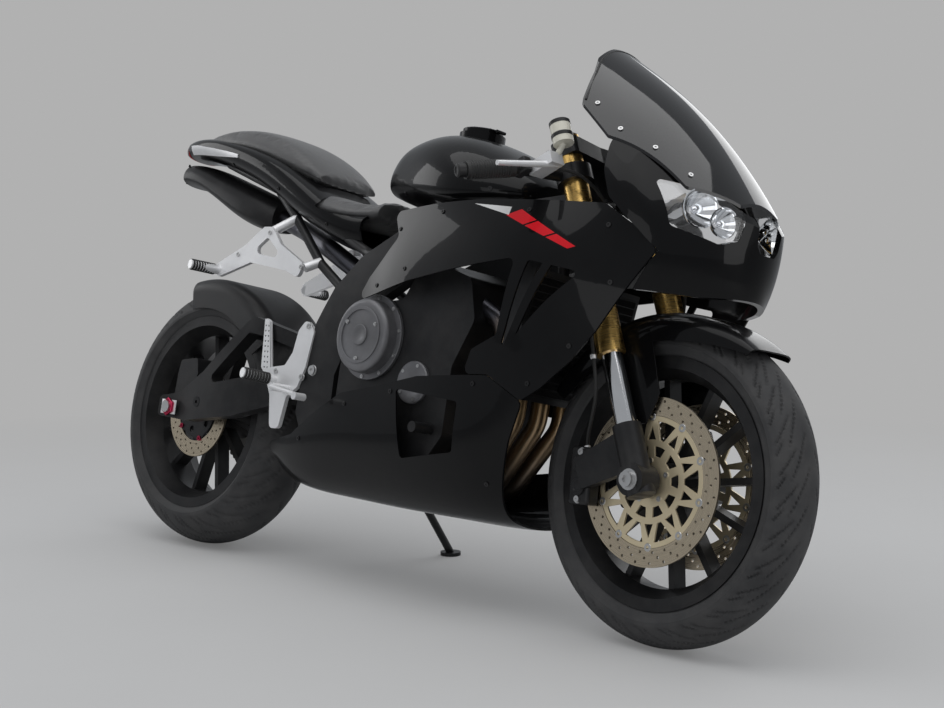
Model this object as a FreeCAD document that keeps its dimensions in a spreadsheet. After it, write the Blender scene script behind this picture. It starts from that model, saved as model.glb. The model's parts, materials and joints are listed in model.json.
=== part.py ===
"""Sport motorcycle of the 600 class, parked on its side stand.

Bike frame, in millimetres: X forward with zero at the rear axle, Y to the
left, Z up with zero at the tyres' lowest points, and the machine upright.
Every sub-part is drawn in that frame (or round its own axle) and gets the
Placement that stands the machine on its side stand.
"""
import FreeCAD
import Part
import Sketcher
import math
import os
from FreeCAD import Placement, Rotation, Vector

SIZES = [
    ("wheelbase", 1375), ("tank_tall", 1000), ("side_reach", 250),
    ("rake_angle", 24), ("trail_long", 98), ("lean_angle", 11.7), ("steer_rest_angle", -3.5),
    # Wheels
    ("front_radius", 300), ("front_crown", 60), ("rear_radius", 315), ("rear_crown", 92),
    ("bead_radius", 219), ("front_rim_wide", 89), ("rear_rim_wide", 140), ("flange_tall", 14),
    ("flange_thick", 6), ("rim_wall", 9), ("spoke_deep", 34), ("spoke_count", 6),
    ("hub_radius", 38), ("hub_wide", 134), ("rear_hub_radius", 52), ("rear_hub_wide", 136),
    ("front_axle_radius", 12.5), ("rear_axle_radius", 14), ("running_gap", 0.4),
    ("front_disc_radius", 155), ("front_disc_bore", 119), ("front_disc_thick", 4.5),
    ("rear_disc_radius", 110), ("rear_disc_thick", 5),
    ("carrier_thick", 5), ("carrier_hub", 44), ("bobbin_radius", 8), ("arm_thick", 11),
    ("arm_count", 10),
    ("sprocket_radius", 109), ("sprocket_thick", 7),
    ("pinion_radius", 41), ("chain_line", 106), ("plate_tall", 15), ("chain_wide", 20),
    # Fork and bars
    ("leg_spread", 105), ("slider_radius", 20.5), ("outer_radius", 27), ("outer_low", 245),
    ("fork_long", 700), ("clamp_radius", 36), ("clamp_tall", 34), ("stem_radius", 17),
    ("low_bridge", 430), ("top_bridge", 655), ("grip_radius", 17), ("bar_radius", 11), ("cut_over", 2),
    # Plates and skins
    ("skin_thick", 4), ("cowl_thick", 11), ("plate_metal", 10), ("spar_thick", 30), ("arm_beam", 34),
    ("small_gap", 0.3),
    ("drop_deep", 18),
    ("disc_line", 70),
    ("spar_round", 14),
    ("cross_radius", 20),
    ("spar_low_half", 124),
    ("head_radius", 34),
    ("spool_radius", 4),
    ("spool_deep", 18),
    ("spool_face", 158),
    ("stem_hole_radius", 8.5),
    ("stem_hole_deep", 50),
    ("head_half", 66),
    ("alternator_tall", 32),
    ("notch_near", 60),
    ("bridge_half", 98),
    ("hold_far", 130),
    ("hold_near", 112),
    ("pivot_bolt_radius", 12),
    ("case_round", 24),
    ("engine_half", 150),
    ("clutch_radius", 78),
    ("clutch_tall", 40),
    ("clutch_round", 12),
    ("alternator_radius", 62),
    ("cover_tall", 12),
    ("radiator_half", 165),
    ("header_radius", 19),
    ("header_bend", 70),
    ("pipe_radius", 22),
    ("pipe_bend", 60),
    ("tip_radius", 24),
    ("rail_radius", 11),
    ("rail_bend", 60),
    ("side_deep", 400),
    ("panel_round", 12),
    ("vent_round", 8),
    ("belly_round", 14),
    ("window_near", 120),
    ("sky_tall", 400),
    ("screen_tall", 6),
    ("screen_low", 600),
    ("nose_back", 1200),
    ("nose_deep", 400),
    ("lamp_round", 10),
    ("dash_half", 78),
    ("hanger_line", 147),
    ("hanger_round", 12),
    ("peg_radius", 11),
    ("pillion_line", 130),
    ("pivot_radius", 20),
    ("swing_half", 90),
    ("pivot_bolt_half", 152),
    ("rear_axle_half", 172),
    ("damper_radius", 14),
    ("spring_low", 50),
    ("spring_radius", 29),
    ("caliper_far", 128),
    ("caliper_near", 54),
    ("rotor_gap", 5),
    ("fender_half", 98),
    ("fender_low", 250),
    ("fender_high", 326),
    ("fender_round", 40),
    ("fender_angle", 66),
    ("fender_start_angle", -12),
    ("stand_eye", 16),
    ("eye_tall", 18),
    ("leg_radius", 9),
    ("stand_bolt", 8),
    ("foot_radius", 24),
    ("foot_tall", 8),
    ("lug_tall", 12),
    ("slider_low", 105),
    ("axle_boss", 30),
    ("boss_half", 25),
    ("front_axle_half", 136),
    ("caliper_deep", 52),
    ("caliper_wide", 62),
    ("caliper_long", 108),
    ("caliper_round", 8),
    ("tyre_sides", 64),
    ("link_count", 106),
    ("waist_share", 0.62),
    ("cap_boss_radius", 50),
    ("cap_boss_tall", 30),
    ("cap_radius", 44),
    ("cap_tall", 8),
    ("cap_hinge_ahead", 52),
    ("cap_hinge_up", 5.5),
    ("cap_ear_long", 14),
    ("cap_ear_half", 13),
    ("cap_ear_tall", 2.5),
    ("cap_pin_radius", 3.5),
    ("lever_line", 204),
    ("lever_boss", 9),
    ("lever_radius", 5),
    ("toe_wide", 30),
    ("toe_radius", 8),
    ("rail_bar_half", 66),
    ("thin_rail_radius", 7.7),
    ("shock_bar_radius", 16),
    ("spool_boss_radius", 12),
    # Fork lowers and clamps
    ("tube_step", 2.4), ("lower_tail", 28.8), ("caliper_lug_half", 9), ("caliper_turn_angle", 22),
    ("bridge_back", 30), ("bridge_back_half", 44), ("bridge_side", 30), ("bridge_side_back", 20),
    ("bridge_nose", 34), ("bridge_nose_side", 20), ("bridge_waist", 20), ("bridge_waist_half", 30),
    ("stem_over", 8), ("ring_low", 600), ("ring_tall", 32),
    # Bars, levers and brake cup, forward, left and up the fork from the front axle
    ("bar_back", 6), ("bar_side", 26), ("bar_up", 615), ("bar_sink", 12),
    ("grip_root_back", 22), ("grip_root_side", 252), ("grip_root_up", 612),
    ("grip_end_back", 62), ("grip_end_side", 342), ("grip_end_up", 606),
    ("blade_root_ahead", 34), ("blade_root_side", 190), ("blade_root_up", 606),
    ("blade_root_radius", 7),
    ("blade_end_ahead", 8), ("blade_end_side", 330), ("blade_end_up", 590), ("blade_end_radius", 5),
    ("perch_long", 60), ("perch_wide", 34), ("perch_tall", 24),
    ("perch_back", 14), ("perch_side", 186), ("perch_up", 600),
    ("cup_ahead", 58), ("cup_side", 190), ("cup_up", 638), ("cup_tall", 46), ("cup_radius", 20),
    ("cup_arm_ahead", 30), ("cup_arm_side", 196), ("cup_arm_up", 612), ("cup_arm_over", 2),
    ("cup_arm_radius", 6),
    # Front mudguard
    ("guard_half", 81), ("guard_low", 256), ("guard_wall", 3.5),
    ("guard_shoulder_half", 73), ("guard_shoulder", 300), ("guard_shoulder_wall", 3),
    ("guard_crown_half", 36), ("guard_crown", 315), ("guard_crown_wall", 4), ("guard_crown_in", 2),
    ("guard_angle", 96), ("guard_start_angle", -36), ("flap_round", 12),
]

doc = FreeCAD.newDocument("SportBike")
sheet = doc.addObject("Spreadsheet::Sheet", "Sizes")
for row, (alias, value) in enumerate(SIZES, start=1):
    sheet.set("A" + str(row), alias)
    sheet.set("B" + str(row), str(value))
    sheet.setAlias("B" + str(row), alias)
doc.recompute()
nodes = []


def val(alias):
    """One size of the sheet."""
    return float(sheet.get(alias))


def amount(text):
    """Value of a formula such as "rim_wide / 2 - rim_wall"."""
    total = 0.0
    for term in text.replace("- ", "+ -1 * ").split("+"):
        if term.strip():
            product = 1.0
            for rank, side in enumerate(term.split("/")):
                for word in side.split("*"):
                    word = word.strip()
                    number = val(word) if word[0].isalpha() else float(word)
                    product = product / number if rank else product * number
            total += product
    return total


def bound(text):
    """The same formula as an expression on the sheet."""
    return " ".join("Sizes." + word if word[0].isalpha() else word for word in text.split())


def spot(x_share, y_share, z_share):
    """Point of the bike frame from its shares of the main sizes."""
    return Vector(x_share * val("wheelbase"), y_share * val("side_reach"), z_share * val("tank_tall"))


def spot2(x_share, z_share):
    """Point of the middle plane."""
    return spot(x_share, 0, z_share)


def flip(shape):
    """Mirror image on the other side of the middle plane."""
    return shape.mirror(Vector(0, 0, 0), Vector(0, 1, 0))


def both(shape):
    """The piece and its mirror image, as solids that do not touch."""
    return Part.makeCompound([shape, flip(shape)])


# Placements
lean = val("lean_angle")
rake = val("rake_angle")
rake_rad = math.radians(rake)
fork_offset = val("front_radius") * math.sin(rake_rad) - val("trail_long") * math.cos(rake_rad)


def lowest(radius, crown, centre, rotation):
    """Height of a tyre's lowest point, from its round crown."""
    axis = rotation.multVec(Vector(0, 1, 0))
    return centre.z - (radius - crown) * math.sqrt(1 - axis.z ** 2) - crown


fork_frame = Placement(Vector(val("wheelbase"), 0, val("front_radius")), Rotation(Vector(0, 1, 0), -rake))
rest_turn = Rotation(Vector(0, 0, 1), val("steer_rest_angle"))
steer_turn = Placement(Vector(), rest_turn, Vector(-fork_offset, 0, 0))
steered = fork_frame.multiply(steer_turn)
stand = Placement(Vector(), Rotation(Vector(1, 0, 0), -lean))
for level_round in range(5):
    front_at = stand.multiply(steered)
    rear_low = lowest(val("rear_radius"), val("rear_crown"),
                      stand.multVec(Vector(0, 0, val("rear_radius"))), stand.Rotation)
    front_low = lowest(val("front_radius"), val("front_crown"), front_at.Base, front_at.Rotation)
    pitch = math.degrees(math.atan2(front_low - rear_low, val("wheelbase")))
    stand = Placement(Vector(), Rotation(Vector(0, 1, 0), pitch)).multiply(stand)
stand.Base = stand.Base - Vector(0, 0, rear_low)
front_at = stand.multiply(steered)


# Sketches
def pin(sketch, geo, pos, tx, ty):
    """Bind one point of a sketch to two formulas."""
    for kind, text, axis in (("DistanceX", tx, -2), ("DistanceY", ty, -1)):
        if text == "0":
            sketch.addConstraint(Sketcher.Constraint("PointOnObject", geo, pos, axis))
        else:
            index = sketch.addConstraint(Sketcher.Constraint(kind, -1, 1, geo, pos, amount(text)))
            sketch.setExpression("Constraints[" + str(index) + "]", bound(text))


def draw(body, role, name, loops, circles=()):
    """Sketch with closed loops; a point with four formulas starts an arc through the last two."""
    sketch = body.newObject("Sketcher::SketchObject", name)
    plane = [item for item in body.Origin.OriginFeatures if item.Role == role][0]
    sketch.AttachmentSupport = (plane, [""])
    sketch.MapMode = "FlatFace"
    for loop in loops:
        spots = [Vector(amount(point[0]), amount(point[1]), 0) for point in loop]
        ends = []
        for index, point in enumerate(loop):
            here, there = spots[index], spots[(index + 1) % len(loop)]
            if len(point) == 4:
                middle = Vector(amount(point[2]), amount(point[3]), 0)
                geo = sketch.addGeometry(Part.Arc(here, middle, there), False)
                kept_way = sketch.getPoint(geo, 1).distanceToPoint(here) < here.distanceToPoint(there) / 2
                first = 1 if kept_way else 2
                mark = sketch.addGeometry(Part.Point(middle), True)
                pin(sketch, mark, 1, point[2], point[3])
                sketch.addConstraint(Sketcher.Constraint("PointOnObject", mark, 1, geo))
            else:
                geo = sketch.addGeometry(Part.LineSegment(here, there), False)
                first = 1
            ends.append((geo, first))
        for index, point in enumerate(loop):
            geo, first = ends[index]
            back_geo, back_first = ends[index - 1]
            back_last = 3 - back_first
            sketch.addConstraint(Sketcher.Constraint("Coincident", back_geo, back_last, geo, first))
            pin(sketch, geo, first, point[0], point[1])
    for cx, cy, radius in circles:
        centre = Vector(amount(cx), amount(cy), 0)
        geo = sketch.addGeometry(Part.Circle(centre, Vector(0, 0, 1), amount(radius)), False)
        pin(sketch, geo, 3, cx, cy)
        index = sketch.addConstraint(Sketcher.Constraint("Radius", geo, amount(radius)))
        sketch.setExpression("Constraints[" + str(index) + "]", bound(radius))
    return sketch


def start(name, place):
    """New body that is one sub-part."""
    body = doc.addObject("PartDesign::Body", name)
    body.Label = name
    nodes.append((body, place))
    return body


def turn(body, name, profile):
    """Revolve a profile of (across, radius) points round the body's Y axis."""
    sketch = draw(body, "YZ_Plane", name + "_profile", [profile])
    feature = body.newObject("PartDesign::Revolution", name)
    feature.Profile = sketch
    feature.ReferenceAxis = (sketch, ["H_Axis"])
    feature.Angle = 360
    return feature


def turn_up(body, name, profile):
    """Revolve a profile of (radius, height) points round the body's Z axis."""
    sketch = draw(body, "XZ_Plane", name + "_profile", [profile])
    feature = body.newObject("PartDesign::Revolution", name)
    feature.Profile = sketch
    feature.ReferenceAxis = (sketch, ["V_Axis"])
    feature.Angle = 360
    return feature


def plate(body, name, loops, length, circles=()):
    """Pad of side-view outlines, centred on the middle plane."""
    sketch = draw(body, "XZ_Plane", name + "_outline", loops, circles)
    feature = body.newObject("PartDesign::Pad", name)
    feature.Profile = sketch
    feature.SideType = "Symmetric"
    feature.setExpression("Length", bound(length))
    return feature


def repeat(body, name, features, role, count):
    """Copies of features round one axis of the body."""
    pattern = body.newObject("PartDesign::PolarPattern", name)
    pattern.Originals = features
    axis = [item for item in body.Origin.OriginFeatures if item.Role == role][0]
    pattern.Axis = (axis, [""])
    pattern.Angle = 360
    pattern.setExpression("Occurrences", bound(count))
    body.Tip = pattern
    return pattern


def twin(body, name, features):
    """Mirror image of features across the middle plane."""
    mirror = body.newObject("PartDesign::Mirrored", name)
    mirror.Originals = features
    plane = [item for item in body.Origin.OriginFeatures if item.Role == "XZ_Plane"][0]
    mirror.MirrorPlane = (plane, [""])
    body.Tip = mirror
    return mirror


# Free shapes


run_share = 0.45
straight_angle = 1.56


def soft(points, radius, closed=True):
    """Wire through points, its corners rounded by tangent arcs that take at most a share of each run."""
    edges = []
    count = len(points)
    spans = []
    for index, here in enumerate(points):
        if not closed and index in (0, count - 1):
            spans.append((here, here, here))
            continue
        back, ahead = points[index - 1] - here, points[(index + 1) % count] - here
        half = back.getAngle(ahead) / 2
        size = radius[index] if isinstance(radius, (list, tuple)) else radius
        reach = min(size / math.tan(half), run_share * back.Length, run_share * ahead.Length)
        reach = reach if half < straight_angle else 0
        if reach <= 0:
            spans.append((here, here, here))
            continue
        fillet = reach * math.tan(half)
        inward = (back.normalize() + ahead.normalize()).normalize()
        centre = here + inward * (fillet / math.sin(half))
        spans.append((here + back * reach, centre - inward * fillet, here + ahead * reach))
    for index, (first, middle, last) in enumerate(spans):
        if first.distanceToPoint(last) > 0:
            edges.append(Part.Arc(first, middle, last).toShape())
        if closed or index < count - 1:
            following = spans[(index + 1) % count][0]
            if last.distanceToPoint(following) > 1e-6:
                edges.append(Part.LineSegment(last, following).toShape())
    return Part.Wire(edges)


def prism(points, radius, near, far):
    """Side-view outline pushed across from one Y to another."""
    spots = [spot2(*point) + Vector(0, near, 0) for point in points]
    return Part.Face(soft(spots, radius)).extrude(Vector(0, far - near, 0))


def slab(points, radius, low, high):
    """Top-view outline pushed up from one Z to another."""
    spots = [spot(point[0], point[1], 0) + Vector(0, 0, low) for point in points]
    return Part.Face(soft(spots, radius)).extrude(Vector(0, 0, high - low))


def tube(points, radius, bend):
    """Round bar along straight runs joined by arcs."""
    path = soft(points, bend, False)
    heading = (points[1] - points[0]).normalize()
    ring = Part.Wire(Part.makeCircle(radius, points[0], heading))
    return Part.Wire(path).makePipeShell([ring], True, False)


def rod(first, last, radius, end_radius=None):
    """Straight round bar between two points, tapered if two radii are given."""
    heading = last - first
    if end_radius is None:
        return Part.makeCylinder(radius, heading.Length, first, heading)
    return Part.makeCone(radius, end_radius, heading.Length, first, heading)


def oval(x, half, top, bottom, square, tumble=0.0, count=20):
    """Closed section across the bike: rounded box, narrower at the top by tumble."""
    middle, tall = (top + bottom) / 2, (top - bottom) / 2
    points = []
    for index in range(count):
        angle = 2 * math.pi * (index + 0.5) / count
        across = math.copysign(abs(math.cos(angle)) ** (2 / square), math.cos(angle))
        rise = math.copysign(abs(math.sin(angle)) ** (2 / square), math.sin(angle))
        points.append(Vector(x, half * across * (1 - tumble * rise), middle + tall * rise))
    curve = Part.BSplineCurve()
    curve.interpolate(points, PeriodicFlag=True)
    return Part.Wire(curve.toShape())


def hull(rows, square, tumble=0.0):
    """Solid lofted along the bike through rows of (x, half width, top, bottom) shares."""
    wires = []
    for x_share, half_share, top_share, low_share in rows:
        top, low = spot(x_share, half_share, top_share), spot(x_share, half_share, low_share)
        wires.append(oval(top.x, top.y, top.z, low.z, square, tumble))
    return Part.makeLoft(wires, True, False)


def curtain(x_row, z_row, y_rows, thick):
    """Curved skin: its outer face through a net of points, thickened inwards across the bike."""
    net = []
    for z_share, widths in zip(z_row, y_rows):
        net.append([spot(x_share, y_share, z_share) for x_share, y_share in zip(x_row, widths)])
    surface = Part.BSplineSurface()
    surface.interpolate(net)
    return surface.toShape().extrude(Vector(0, -thick, 0))


def offset_side(points, thick):
    """Points of an open curve in a YZ plane moved inwards by a thickness."""
    moved = []
    for index, point in enumerate(points):
        back = points[max(index - 1, 0)]
        ahead = points[min(index + 1, len(points) - 1)]
        run = (ahead - back).normalize()
        moved.append(point + Vector(0, -run.z, run.y) * thick)
    return moved


def trough(rows, thick):
    """Shell lofted along the bike through open U sections given as (y, z) shares down the left side."""
    wires = []
    for x_share, pairs in rows:
        left = [spot(x_share, y_share, z_share) for y_share, z_share in pairs]
        right = [Vector(point.x, -point.y, point.z) for point in reversed(left)]
        outer = left + right
        inner = offset_side(outer, -thick)
        curve = Part.BSplineCurve()
        curve.interpolate(outer)
        back = Part.BSplineCurve()
        back.interpolate(list(reversed(inner)))
        wires.append(Part.Wire([curve.toShape(), Part.LineSegment(outer[-1], inner[-1]).toShape(),
                                back.toShape(), Part.LineSegment(inner[0], outer[0]).toShape()]))
    return Part.makeLoft(wires, True, False)


def main_solids(shape, least=0.02):
    """Drop the slivers that a cut leaves."""
    solids = sorted(shape.Solids, key=lambda solid: solid.Volume, reverse=True)
    kept = [solid for solid in solids if solid.Volume > least * solids[0].Volume]
    return kept[0] if len(kept) == 1 else Part.makeCompound(kept)


def free(shape, others):
    """The shape without what its neighbours fill."""
    for other in others:
        if shape.BoundBox.intersect(other.BoundBox):
            shape = shape.cut(other)
    return main_solids(shape)


def feature(name, shape, place):
    """Sub-part whose shape is worked out above."""
    item = doc.addObject("Part::Feature", name)
    item.Label = name
    item.Shape = shape
    nodes.append((item, place.multiply(shape.Placement)))
    return item


# Wheels
wheel_front = front_at
wheel_rear = stand.multiply(Placement(Vector(0, 0, val("rear_radius")), Rotation()))
crown_arc_shares = ((0.98, 0.801), (0.875, 0.516), (0.69, 0.276), (0.441, 0.1025), (0.1516, 0.0116))


def ring_row(across, radius, count):
    """Points of a regular polygon round the wheel's axle."""
    angles = [2 * math.pi * index / count for index in range(count)]
    return [Vector(radius * math.sin(angle), across, -radius * math.cos(angle)) for angle in angles]


def tyre(name, place, wide, radius, crown):
    """Tyre in flat facets: its crown follows an arc in bands, its bead sits between the rim's flanges."""
    count = int(val("tyre_sides"))
    side = val(wide) / 2
    clear = 1 / math.cos(math.pi / count)
    bead, flange = val("bead_radius") * clear, (val("bead_radius") + val("flange_tall")) * clear
    right = [(out * val(crown), val(radius) - down * val(crown)) for out, down in crown_arc_shares]
    section = [(-side, bead), (-side, flange)] + [(-across, tall) for across, tall in right]
    section = section + list(reversed(right)) + [(side, flange), (side, bead)]
    rows = [ring_row(across, tall, count) for across, tall in section]
    faces = []
    for index, row in enumerate(rows):
        following = rows[(index + 1) % len(rows)]
        for here in range(count):
            ahead = (here + 1) % count
            corners = [row[here], row[ahead], following[ahead], following[here], row[here]]
            faces.append(Part.Face(Part.makePolygon(corners)))
    shell = Part.makeShell(faces)
    shell.sewShape()
    solid = Part.makeSolid(shell)
    if solid.Volume < 0:
        solid.reverse()
    return feature(name, solid, place)


def rim(name, place, wide, hub, hub_wide, bore):
    """Cast wheel: hub, pairs of slim spokes and a barrel with a dropped middle."""
    body = start(name, place)
    half = hub_wide + " / 2"
    turn(body, name + "_hub", [("- " + half, bore), (half, bore), (half, hub), ("- " + half, hub)])
    spoke_shares = ((0.004, 0.14), (0.066, 0.14), (0.245, 0.878), (0.19, 0.895))
    loops = [[(sign + str(aside) + " * bead_radius", str(out) + " * bead_radius")
              for aside, out in spoke_shares] for sign in ("", "- ")]
    spokes = plate(body, name + "_spokes", loops, "spoke_deep")
    repeat(body, name + "_spoke_ring", [spokes], "Y_Axis", "spoke_count")
    edge, quarter = wide + " / 2", wide + " / 4"
    lip, far_lip = edge + " + flange_thick", "- " + edge + " - flange_thick"
    drop, under = "bead_radius - drop_deep", "bead_radius - drop_deep - rim_wall"
    turn(body, name + "_barrel", [
        (far_lip, "bead_radius + flange_tall"),
        ("- " + edge, "bead_radius + flange_tall"), ("- " + edge, "bead_radius"), ("- " + quarter, drop),
        (quarter, drop), (edge, "bead_radius"), (edge, "bead_radius + flange_tall"),
        (lip, "bead_radius + flange_tall"), (lip, "bead_radius - rim_wall"), (quarter, under),
        ("- " + quarter, under), (far_lip, "bead_radius - rim_wall")])
    return body


tyre("front_tyre", wheel_front, "front_rim_wide", "front_radius", "front_crown")
tyre("rear_tyre", wheel_rear, "rear_rim_wide", "rear_radius", "rear_crown")
front_bore, rear_bore = "front_axle_radius + running_gap", "rear_axle_radius + running_gap"
rim("front_rim", wheel_front, "front_rim_wide", "hub_radius", "hub_wide", front_bore)
rim("rear_rim", wheel_rear, "rear_rim_wide", "rear_hub_radius", "rear_hub_wide", rear_bore)

discs = start("front_discs", wheel_front)
inner_face, outer_face = "disc_line - front_disc_thick / 2", "disc_line + front_disc_thick / 2"
ring = turn(discs, "front_disc_ring", [
    (inner_face, "front_disc_bore"), (outer_face, "front_disc_bore"),
    (outer_face, "front_disc_radius"), (inner_face, "front_disc_radius")])
twin(discs, "front_disc_pair", [ring])

carriers = start("front_disc_carriers", wheel_front)
arms = []
for side, sign, onward in (("left", "", " + "), ("right", "- ", " - ")):
    reach_in = sign + "hub_wide / 2"
    reach_out = reach_in + onward + "carrier_thick"
    turn(carriers, "carrier_boss_" + side, [
        (reach_in, front_bore), (reach_out, front_bore),
        (reach_out, "carrier_hub"), (reach_in, "carrier_hub")])
    arm = plate(carriers, "carrier_arm_" + side, [[
        ("- 0.7 * arm_thick", "0.8 * carrier_hub"), ("0.7 * arm_thick", "0.8 * carrier_hub"),
        ("0.4 * arm_thick", "front_disc_bore - bobbin_radius"),
        ("- 0.4 * arm_thick", "front_disc_bore - bobbin_radius")]], "carrier_thick")
    bobbin = plate(carriers, "carrier_bobbin_" + side, [], "carrier_thick + 2 * small_gap", [
        ("0", "front_disc_bore - bobbin_radius", "bobbin_radius")])
    outward = ("" if sign else "-") + "(Sizes.hub_wide / 2 + Sizes.carrier_thick / 2)"
    for piece in (arm, bobbin):
        piece.Profile[0].setExpression("AttachmentOffset.Base.z", outward)
        arms.append(piece)
repeat(carriers, "carrier_arms", arms, "Y_Axis", "arm_count")

rear_disc = start("rear_disc", wheel_rear)
disc_in, disc_out = "- rear_hub_wide / 2", "- rear_hub_wide / 2 - rear_disc_thick"
turn(rear_disc, "rear_disc_ring", [
    (disc_in, rear_bore), (disc_out, rear_bore),
    (disc_out, "rear_disc_radius"), (disc_in, "rear_disc_radius")])

# Chassis frame
axis_low = Vector(val("wheelbase") + val("trail_long"), 0, 0)
axis_way = Vector(-math.sin(rake_rad), 0, math.cos(rake_rad))
head_start = (val("front_radius") - fork_offset * math.sin(rake_rad)) / math.cos(rake_rad)
head_low = axis_low + axis_way * (head_start + val("low_bridge") + val("clamp_tall") + val("running_gap"))
head_high = axis_low + axis_way * (head_start + val("top_bridge") - val("running_gap"))
head_tube = rod(head_low, head_high, val("head_radius"))
head_bore = rod(axis_low + axis_way * head_start, axis_low + axis_way * (head_start + val("fork_long")),
                val("stem_radius") + val("running_gap"))
spar_outline_shares = [
    (0.8364, 0.832), (0.7891, 0.842), (0.6982, 0.812), (0.5964, 0.784), (0.5091, 0.745),
    (0.4291, 0.69), (0.3782, 0.62), (0.3491, 0.54),
    (0.3309, 0.44), (0.3273, 0.34), (0.3455, 0.3), (0.3891, 0.3), (0.4073, 0.34), (0.4073, 0.43),
    (0.4364, 0.52), (0.48, 0.59),
    (0.5527, 0.65), (0.6545, 0.69), (0.7564, 0.715), (0.8291, 0.74),
]
head_outline_shares = [
    (0.8291, 0.752), (0.8116, 0.826), (0.7884, 0.842), (0.7695, 0.8), (0.7942, 0.738),
]
spar_x_shares = [
    0.32, 0.4073, 0.5091, 0.6182, 0.7273, 0.8509,
]
spar_z_shares = [
    0.28, 0.45, 0.62, 0.76, 0.88,
]
spar_wide_shares = [
    (0.608, 0.608, 0.592, 0.56, 0.512, 0.472), (0.608, 0.604, 0.592, 0.568, 0.52, 0.448),
    (0.576, 0.6, 0.608, 0.592, 0.496, 0.336),
    (0.472, 0.536, 0.6, 0.568, 0.4, 0.176), (0.392, 0.456, 0.512, 0.448, 0.296, 0.144),
]
spar = curtain(spar_x_shares, spar_z_shares, spar_wide_shares, val("spar_thick"))
spar = spar.common(prism(spar_outline_shares, val("spar_round"), 0, val("side_reach")))
pivot_spot = spot2(0.3564, 0.435)


def bar_across(middle, radius, half):
    """Round bar straight across the bike."""
    return Part.makeCylinder(radius, 2 * half, middle - Vector(0, half, 0), Vector(0, 1, 0))


cross_low = bar_across(spot2(0.3476, 0.312), val("cross_radius"), val("spar_low_half"))
cross_top = bar_across(spot2(0.4436, 0.69), val("cross_radius"), val("spar_low_half"))
head_block = prism(head_outline_shares, val("vent_round"), -val("head_half"), val("head_half"))
spar = spar.cut(head_bore).cut(bar_across(pivot_spot, val("pivot_bolt_radius"), val("side_reach")))
frame_spars = both(spar)
frame_head = free(head_tube.fuse([head_block]).cut(head_bore), [spar, flip(spar)])
cross_tubes = Part.makeCompound([free(piece, [spar, flip(spar)]) for piece in (cross_low, cross_top)])
frame_shape = spar.fuse([flip(spar), frame_head, cross_tubes])

# Engine
engine_outline_shares = [
    (0.4182, 0.3), (0.4182, 0.54), (0.4655, 0.588), (0.5382, 0.6), (0.5745, 0.69), (0.6727, 0.65),
    (0.6909, 0.565), (0.6582, 0.47),
    (0.6582, 0.33), (0.6182, 0.252), (0.4655, 0.245),
]
engine = prism(engine_outline_shares, val("case_round"), -val("engine_half"), val("engine_half"))
engine = free(engine, [frame_shape])
clutch_spot = spot2(0.4844, 0.516)
clutch = Part.makeCylinder(val("clutch_radius"), val("clutch_tall"),
                           clutch_spot - Vector(0, val("engine_half"), 0), Vector(0, -1, 0))
clutch = free(clutch.makeFillet(val("clutch_round"), [clutch.Edges[0]]), [flip(frame_shape)])
alternator_spot = spot2(0.5818, 0.455)
alternator = Part.makeCylinder(val("alternator_radius"), val("alternator_tall"),
                               alternator_spot + Vector(0, val("engine_half"), 0), Vector(0, 1, 0))
sprocket_spot = spot2(0.4335, 0.425)
cover_outline_shares = [
    (0.4182, 0.38), (0.4182, 0.47), (0.4436, 0.49), (0.48, 0.47), (0.4836, 0.4), (0.4509, 0.37),
]
cover_face = val("engine_half") + val("cover_tall")
sprocket_cover = prism(cover_outline_shares, val("case_round"), val("engine_half"), cover_face)

# Radiator and exhaust
radiator_shares = [
    (0.7505, 0.425), (0.7767, 0.42), (0.8044, 0.672), (0.7782, 0.678),
]
radiator = prism(radiator_shares, 0, -val("radiator_half"), val("radiator_half"))
hook = rod(spot(0.7913, 0.248, 0.67), spot(0.7855, 0.24, 0.745), val("rail_radius"))
radiator = free(radiator.fuse([hook, flip(hook)]), [frame_shape])
pipes = []
for side_share in (-0.42, -0.14, 0.14, 0.42):
    route = [spot(0.6727, side_share, 0.6), spot(0.7236, side_share, 0.565), spot(0.72, side_share, 0.38),
             spot(0.6545, 0.76 * side_share, 0.228), spot(0.5527, 0.4 * side_share, 0.222)]
    pipes.append(tube(route, val("header_radius"), val("header_bend")))
collector_shares = [
    (0.5673, 0.28, 0.245, 0.2), (0.5091, 0.208, 0.245, 0.195), (0.4509, 0.104, 0.242, 0.19),
]
collector = hull(collector_shares, square=2.4)
middle_route = [spot(0.4545, -0.032, 0.216), spot(0.4182, -0.144, 0.216), spot(0.3964, -0.18, 0.28),
                spot(0.3964, -0.18, 0.56), spot(0.3491, -0.18, 0.668), spot(0.2618, -0.18, 0.725),
                spot(0.1527, 0, 0.775), spot(0.0873, 0, 0.805)]
middle_pipe = tube(middle_route, val("pipe_radius"), val("pipe_bend"))
header = pipes[0].fuse(pipes[1:] + [collector, middle_pipe])
header = free(header, [engine, frame_shape])
muffler_row_shares = [
    (0.0945, 0.16, 0.842, 0.77), (0.0436, 0.24, 0.868, 0.778), (-0.0436, 0.256, 0.905, 0.826),
    (-0.1309, 0.248, 0.937, 0.876), (-0.1716, 0.224, 0.944, 0.884),
]
muffler = hull(muffler_row_shares, square=2.6, tumble=0.15)
muffler = muffler.cut(rod(spot(-0.128, 0, 0.909), spot(-0.1818, 0, 0.915), val("tip_radius")))
header = free(header, [muffler])

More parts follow.
